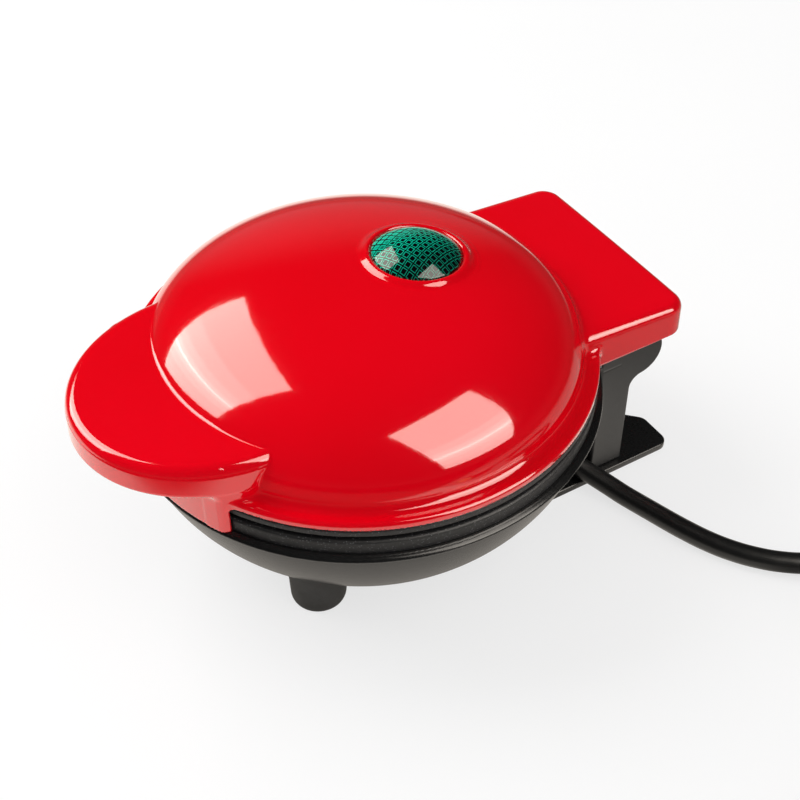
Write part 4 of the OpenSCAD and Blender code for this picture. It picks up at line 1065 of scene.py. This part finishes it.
def foot_plate_field(x, y, z):
    plate = round_corner(plate_outline(x, y), slab(z, 0, FOOT_PLATE_T), 0.45)
    side = np.abs(x)
    for sx, sy in ((TOWER_SCREW_X, TOWER_SCREW_Y), (BOWL_SCREW_X, BOWL_SCREW_Y)):
        d = length(side - sx, y - sy)
        plate = np.maximum(plate, SCREW_HOLE_R - d)
        plate = np.maximum(plate, (SCREW_SEAT_R - np.minimum(z, SCREW_SEAT_DEPTH) - d) / math.sqrt(2))
    return plate


def make_foot_plate():
    mesh = field_mesh("foot_plate_moulding", foot_plate_field, (-34, 34, -1), (34, 88, 3.6), PLATE_STEP)
    plate = add_object("foot_plate_moulding", mesh, "base", FOOT_PLATE_BLACK)
    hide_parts("foot_plate")


def make_feet():
    top = FOOT_POCKET_Z - 0.05
    profile = [(0.0, 0.6), (3.2, 0.6), (3.4, 0.0), (FOOT_TIP_R - 1.5, 0.0), (FOOT_TIP_R - 0.4, 0.5),
               (FOOT_TIP_R, 1.6), (FOOT_R, top), (2.0, top), (2.0, top + 2.25), (2.5, top + 2.25),
               (2.0, top + 4.2), (0.0, top + 4.2)]
    for name, side in (("left", -1), ("right", 1)):
        mesh = lathe("foot_" + name, rounded(profile, 0.5), (side * FOOT_X, FOOT_Y, 0))
        mesh.set_sharp_from_angle(angle=math.radians(50))
        foot = add_object("foot_" + name, mesh, "base", RUBBER)
        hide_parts("front_foot_" + name)


# ---- Plates ----

def waffle_field(x, y, h, rim_t, screw_r):
    """Cast plate: its rim's face at height 0, the well and its pegs above, the back at the top."""
    r = length(x, y)
    back = WELL_DEPTH + CASTING_T
    rim = ring_band(r, h, -PLATE_R, PLATE_R, 0, rim_t, 0.8)
    cup = round_corner(r - WELL_R - CASTING_T, slab(h, 0.5, back), 1.5)
    body = join(rim, cup, 1.5)
    well = round_corner(r - WELL_R + 0.12 * np.maximum(h, 0), h - WELL_DEPTH, 1.2)
    body = keep(body, -well, 0.8)
    cx = np.clip(np.round(x / PEG_PITCH), -PEG_HALF_COUNT, PEG_HALF_COUNT) * PEG_PITCH
    cy = np.clip(np.round(y / PEG_PITCH), -PEG_HALF_COUNT, PEG_HALF_COUNT) * PEG_PITCH
    half = PEG_W / 2
    whole = length(np.abs(cx) + half, np.abs(cy) + half) < WELL_R - 1.5
    u, v = np.abs(x - cx) - half, np.abs(y - cy) - half
    slope = 0.1 * (WELL_DEPTH - h)
    peg = round_corner(round_corner(u + slope, v + slope, 0.7), PEG_DROP - h, 0.6)
    peg = np.where(whole, np.maximum(peg, h - WELL_DEPTH - 0.5), 9.0)
    body = join(body, peg, 0.9)
    for a in PLATE_SCREW_ANGLES:
        sx, sy = screw_r * math.cos(math.radians(a)), screw_r * math.sin(math.radians(a))
        d = length(x - sx, y - sy)
        body = np.maximum(body, SCREW_HOLE_R - d)
        body = np.maximum(body, (SCREW_SEAT_R - np.maximum(h, -0.5) - d) / math.sqrt(2))
    return body


def make_plate(name, node, face_z, up, rim_t, screw_r, body):
    def field(x, y, z):
        return waffle_field(x, y, (z - face_z) * up, rim_t, screw_r)

    reach = WELL_DEPTH + CASTING_T + 1.0
    low, high = sorted((face_z - up * 1.0, face_z + up * reach))
    mesh = field_mesh(name, field, (-64.5, -64.5, low), (64.5, 64.5, high), PLATE_STEP)
    plate = add_object(name, mesh, body, COAT)
    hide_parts(node)


# ---- Lens ----

def make_lens():
    """Clear-looking green dome under its gloss; the square facets of its back are painted in its material,
    with painted light and shade.
    """
    crown = (LENS_R ** 2 + LENS_CROWN ** 2) / (2 * LENS_CROWN)
    edge = BEZEL_H - LENS_SEAT + LENS_EDGE
    profile = []
    for k in range(33):
        r = LENS_R * k / 32
        profile.append((r, edge + LENS_CROWN - crown + math.sqrt(crown ** 2 - r ** 2)))
    profile += [(LENS_R, edge - LENS_EDGE), (LENS_R - 1.3, edge - LENS_EDGE),
                (LENS_R - 1.3, edge - LENS_EDGE - LENS_STEM), (LENS_R - 2.7, edge - LENS_EDGE - LENS_STEM),
                (LENS_R - 2.7, edge - LENS_EDGE),
                (0.0, edge - LENS_EDGE)]
    mesh = lathe("lens_dome", profile, (0, 0, 0), "Z", 96, 0.0)
    mesh.set_sharp_from_angle(angle=math.radians(50))
    place = Matrix.Translation((0, (LENS_Y + AXIS_Y) * MM, LENS_Z * MM)) \
        @ Matrix.Rotation(-LENS_TILT, 4, "X")
    mesh.transform(place)
    lens = add_object("lens_dome", mesh, "lid", LENS)
    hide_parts("lens")


# ---- Inner pieces, floor and light ----

def dress_frame():
    """Gives the frame's own pieces that stay in view their finish."""
    dress = {
        STEEL: ("upper_plate_screws", "lower_plate_screws", "foot_plate_screws", "hinge_pin_left",
                "hinge_pin_right", "upper_reflector_screws", "lower_reflector_screws", "lens_clip"),
        TUBE_STEEL: ("upper_element", "lower_element"),
        SHEET: ("upper_reflector", "lower_reflector"),
        BRASS: ("thermal_fuse", "plug_blades"),
        CERAMIC: ("thermostat", "terminal_block", "lamp_holder"),
        SLEEVE: ("upper_sleeve", "lower_sleeve"),
        LEAD: ("upper_leads", "heater_leads", "supply_leads"),
        LAMP: ("lamp",)}
    for material, names in dress.items():
        for name in names:
            for place in NODES[name].material_slots:
                place.material = material


def make_floor():
    bm = bmesh.new()
    bmesh.ops.create_grid(bm, x_segments=1, y_segments=1, size=FLOOR_HALF)
    floor = bpy.data.objects.new("floor", to_mesh("floor", bm))
    bpy.context.scene.collection.objects.link(floor)
    floor.data.materials.append(FLOOR)


def make_world():
    """Even soft surround: white low down, dark overhead in reflections, and white to the camera."""
    world = bpy.data.worlds.new("surround")
    bpy.context.scene.world = world
    world.use_nodes = True
    tree = world.node_tree
    tree.nodes.clear()
    add, link = tree.nodes.new, tree.links.new
    output = add("ShaderNodeOutputWorld")
    path = add("ShaderNodeLightPath")
    where = add("ShaderNodeTexCoord")
    split = add("ShaderNodeSeparateXYZ")
    ramp = add("ShaderNodeValToRGB")
    ramp.color_ramp.elements[0].position = 0.0
    ramp.color_ramp.elements[0].color = grey(WORLD_LOW)
    ramp.color_ramp.elements[1].position = 0.22
    ramp.color_ramp.elements[1].color = grey(WORLD_TOP)
    link(where.outputs["Generated"], split.inputs["Vector"])
    link(split.outputs["Z"], ramp.inputs["Fac"])
    soft = add("ShaderNodeBackground")
    soft.inputs["Color"].default_value = grey(1.0)
    soft.inputs["Strength"].default_value = WORLD_FILL
    toward = add("ShaderNodeVectorMath")
    toward.operation = "DOT_PRODUCT"
    toward.inputs[1].default_value = GLOW_TOWARD
    link(where.outputs["Generated"], toward.inputs[0])
    patch = fade(tree, toward.outputs["Value"], GLOW_FADE)
    lift = add("ShaderNodeVectorMath")
    link(ramp.outputs["Color"], lift.inputs[0])
    link(patch, lift.inputs[1])
    seen = add("ShaderNodeBackground")
    seen.inputs["Strength"].default_value = 1.0
    link(lift.outputs["Vector"], seen.inputs["Color"])
    white = add("ShaderNodeBackground")
    white.inputs["Color"].default_value = grey(1.0)
    glossy = add("ShaderNodeMixShader")
    link(path.outputs["Is Glossy Ray"], glossy.inputs["Fac"])
    link(soft.outputs["Background"], glossy.inputs[1])
    link(seen.outputs["Background"], glossy.inputs[2])
    camera = add("ShaderNodeMixShader")
    link(path.outputs["Is Camera Ray"], camera.inputs["Fac"])
    link(glossy.outputs["Shader"], camera.inputs[1])
    link(white.outputs["Background"], camera.inputs[2])
    link(camera.outputs["Shader"], output.inputs["Surface"])


def area_light(name, centre, normal, along, size, radiance, spread, colour):
    """Rectangular light that faces along a normal, for shading alone or for reflections alone."""
    z = -Vector(normal).normalized()
    x = (Vector(along) - z * Vector(along).dot(z)).normalized()
    y = z.cross(x)
    data = bpy.data.lights.new(name, "AREA")
    data.shape = "RECTANGLE"
    data.size, data.size_y = size
    data.energy = radiance * math.pi * size[0] * size[1]
    data.color = colour[:3]
    light = bpy.data.objects.new(name, data)
    light.visible_diffuse = spread
    light.visible_glossy = not spread
    bpy.context.scene.collection.objects.link(light)
    light.matrix_world = Matrix.Translation(Vector(centre)) @ Matrix((x, y, z)).transposed().to_4x4()


def make_lights():
    for name, foot, toward, along, size, streak, glow in SOFTBOXES:
        foot, toward, along = Vector(foot), Vector(toward).normalized(), Vector(along)
        across = toward.cross(along).normalized()
        area_light(name, foot + toward * LIGHT_REACH, -toward, along, size, glow, True, grey(1.0))
        for step, (part, breadth, radiance) in enumerate(SHINE):
            shape = (size[0], breadth) if breadth < 1 else size
            shift = across * streak if breadth < 1 else Vector((0, 0, 0))
            centre = foot + toward * (LIGHT_REACH - SHINE_GAP * (step + 1)) + shift
            area_light(name + part, centre, -toward, along, shape, radiance, False, WARM)


bpy.context.scene.view_settings.view_transform = "Standard"
LID_STEP = 0.5
BASE_STEP = 0.45
PLATE_STEP = 0.5

make_camera()
CORD = make_cord()
TIE = make_tie()
PLUG = make_plug()
tuple(v * MM for v in CORD_ROUTE[0])
make_strain_relief()
make_lid()
make_base()
make_plate("upper_waffle_plate", "upper_plate", UPPER_PLATE_Z, 1, UPPER_RIM_T, DOME_R - 2, "lid")
make_plate("lower_waffle_plate", "lower_plate", LOWER_PLATE_Z, -1, LOWER_RIM_T, RIM_R - 4.6, "base")
make_foot_plate()
make_feet()
make_lens()
dress_frame()
make_floor()
make_world()
make_lights()
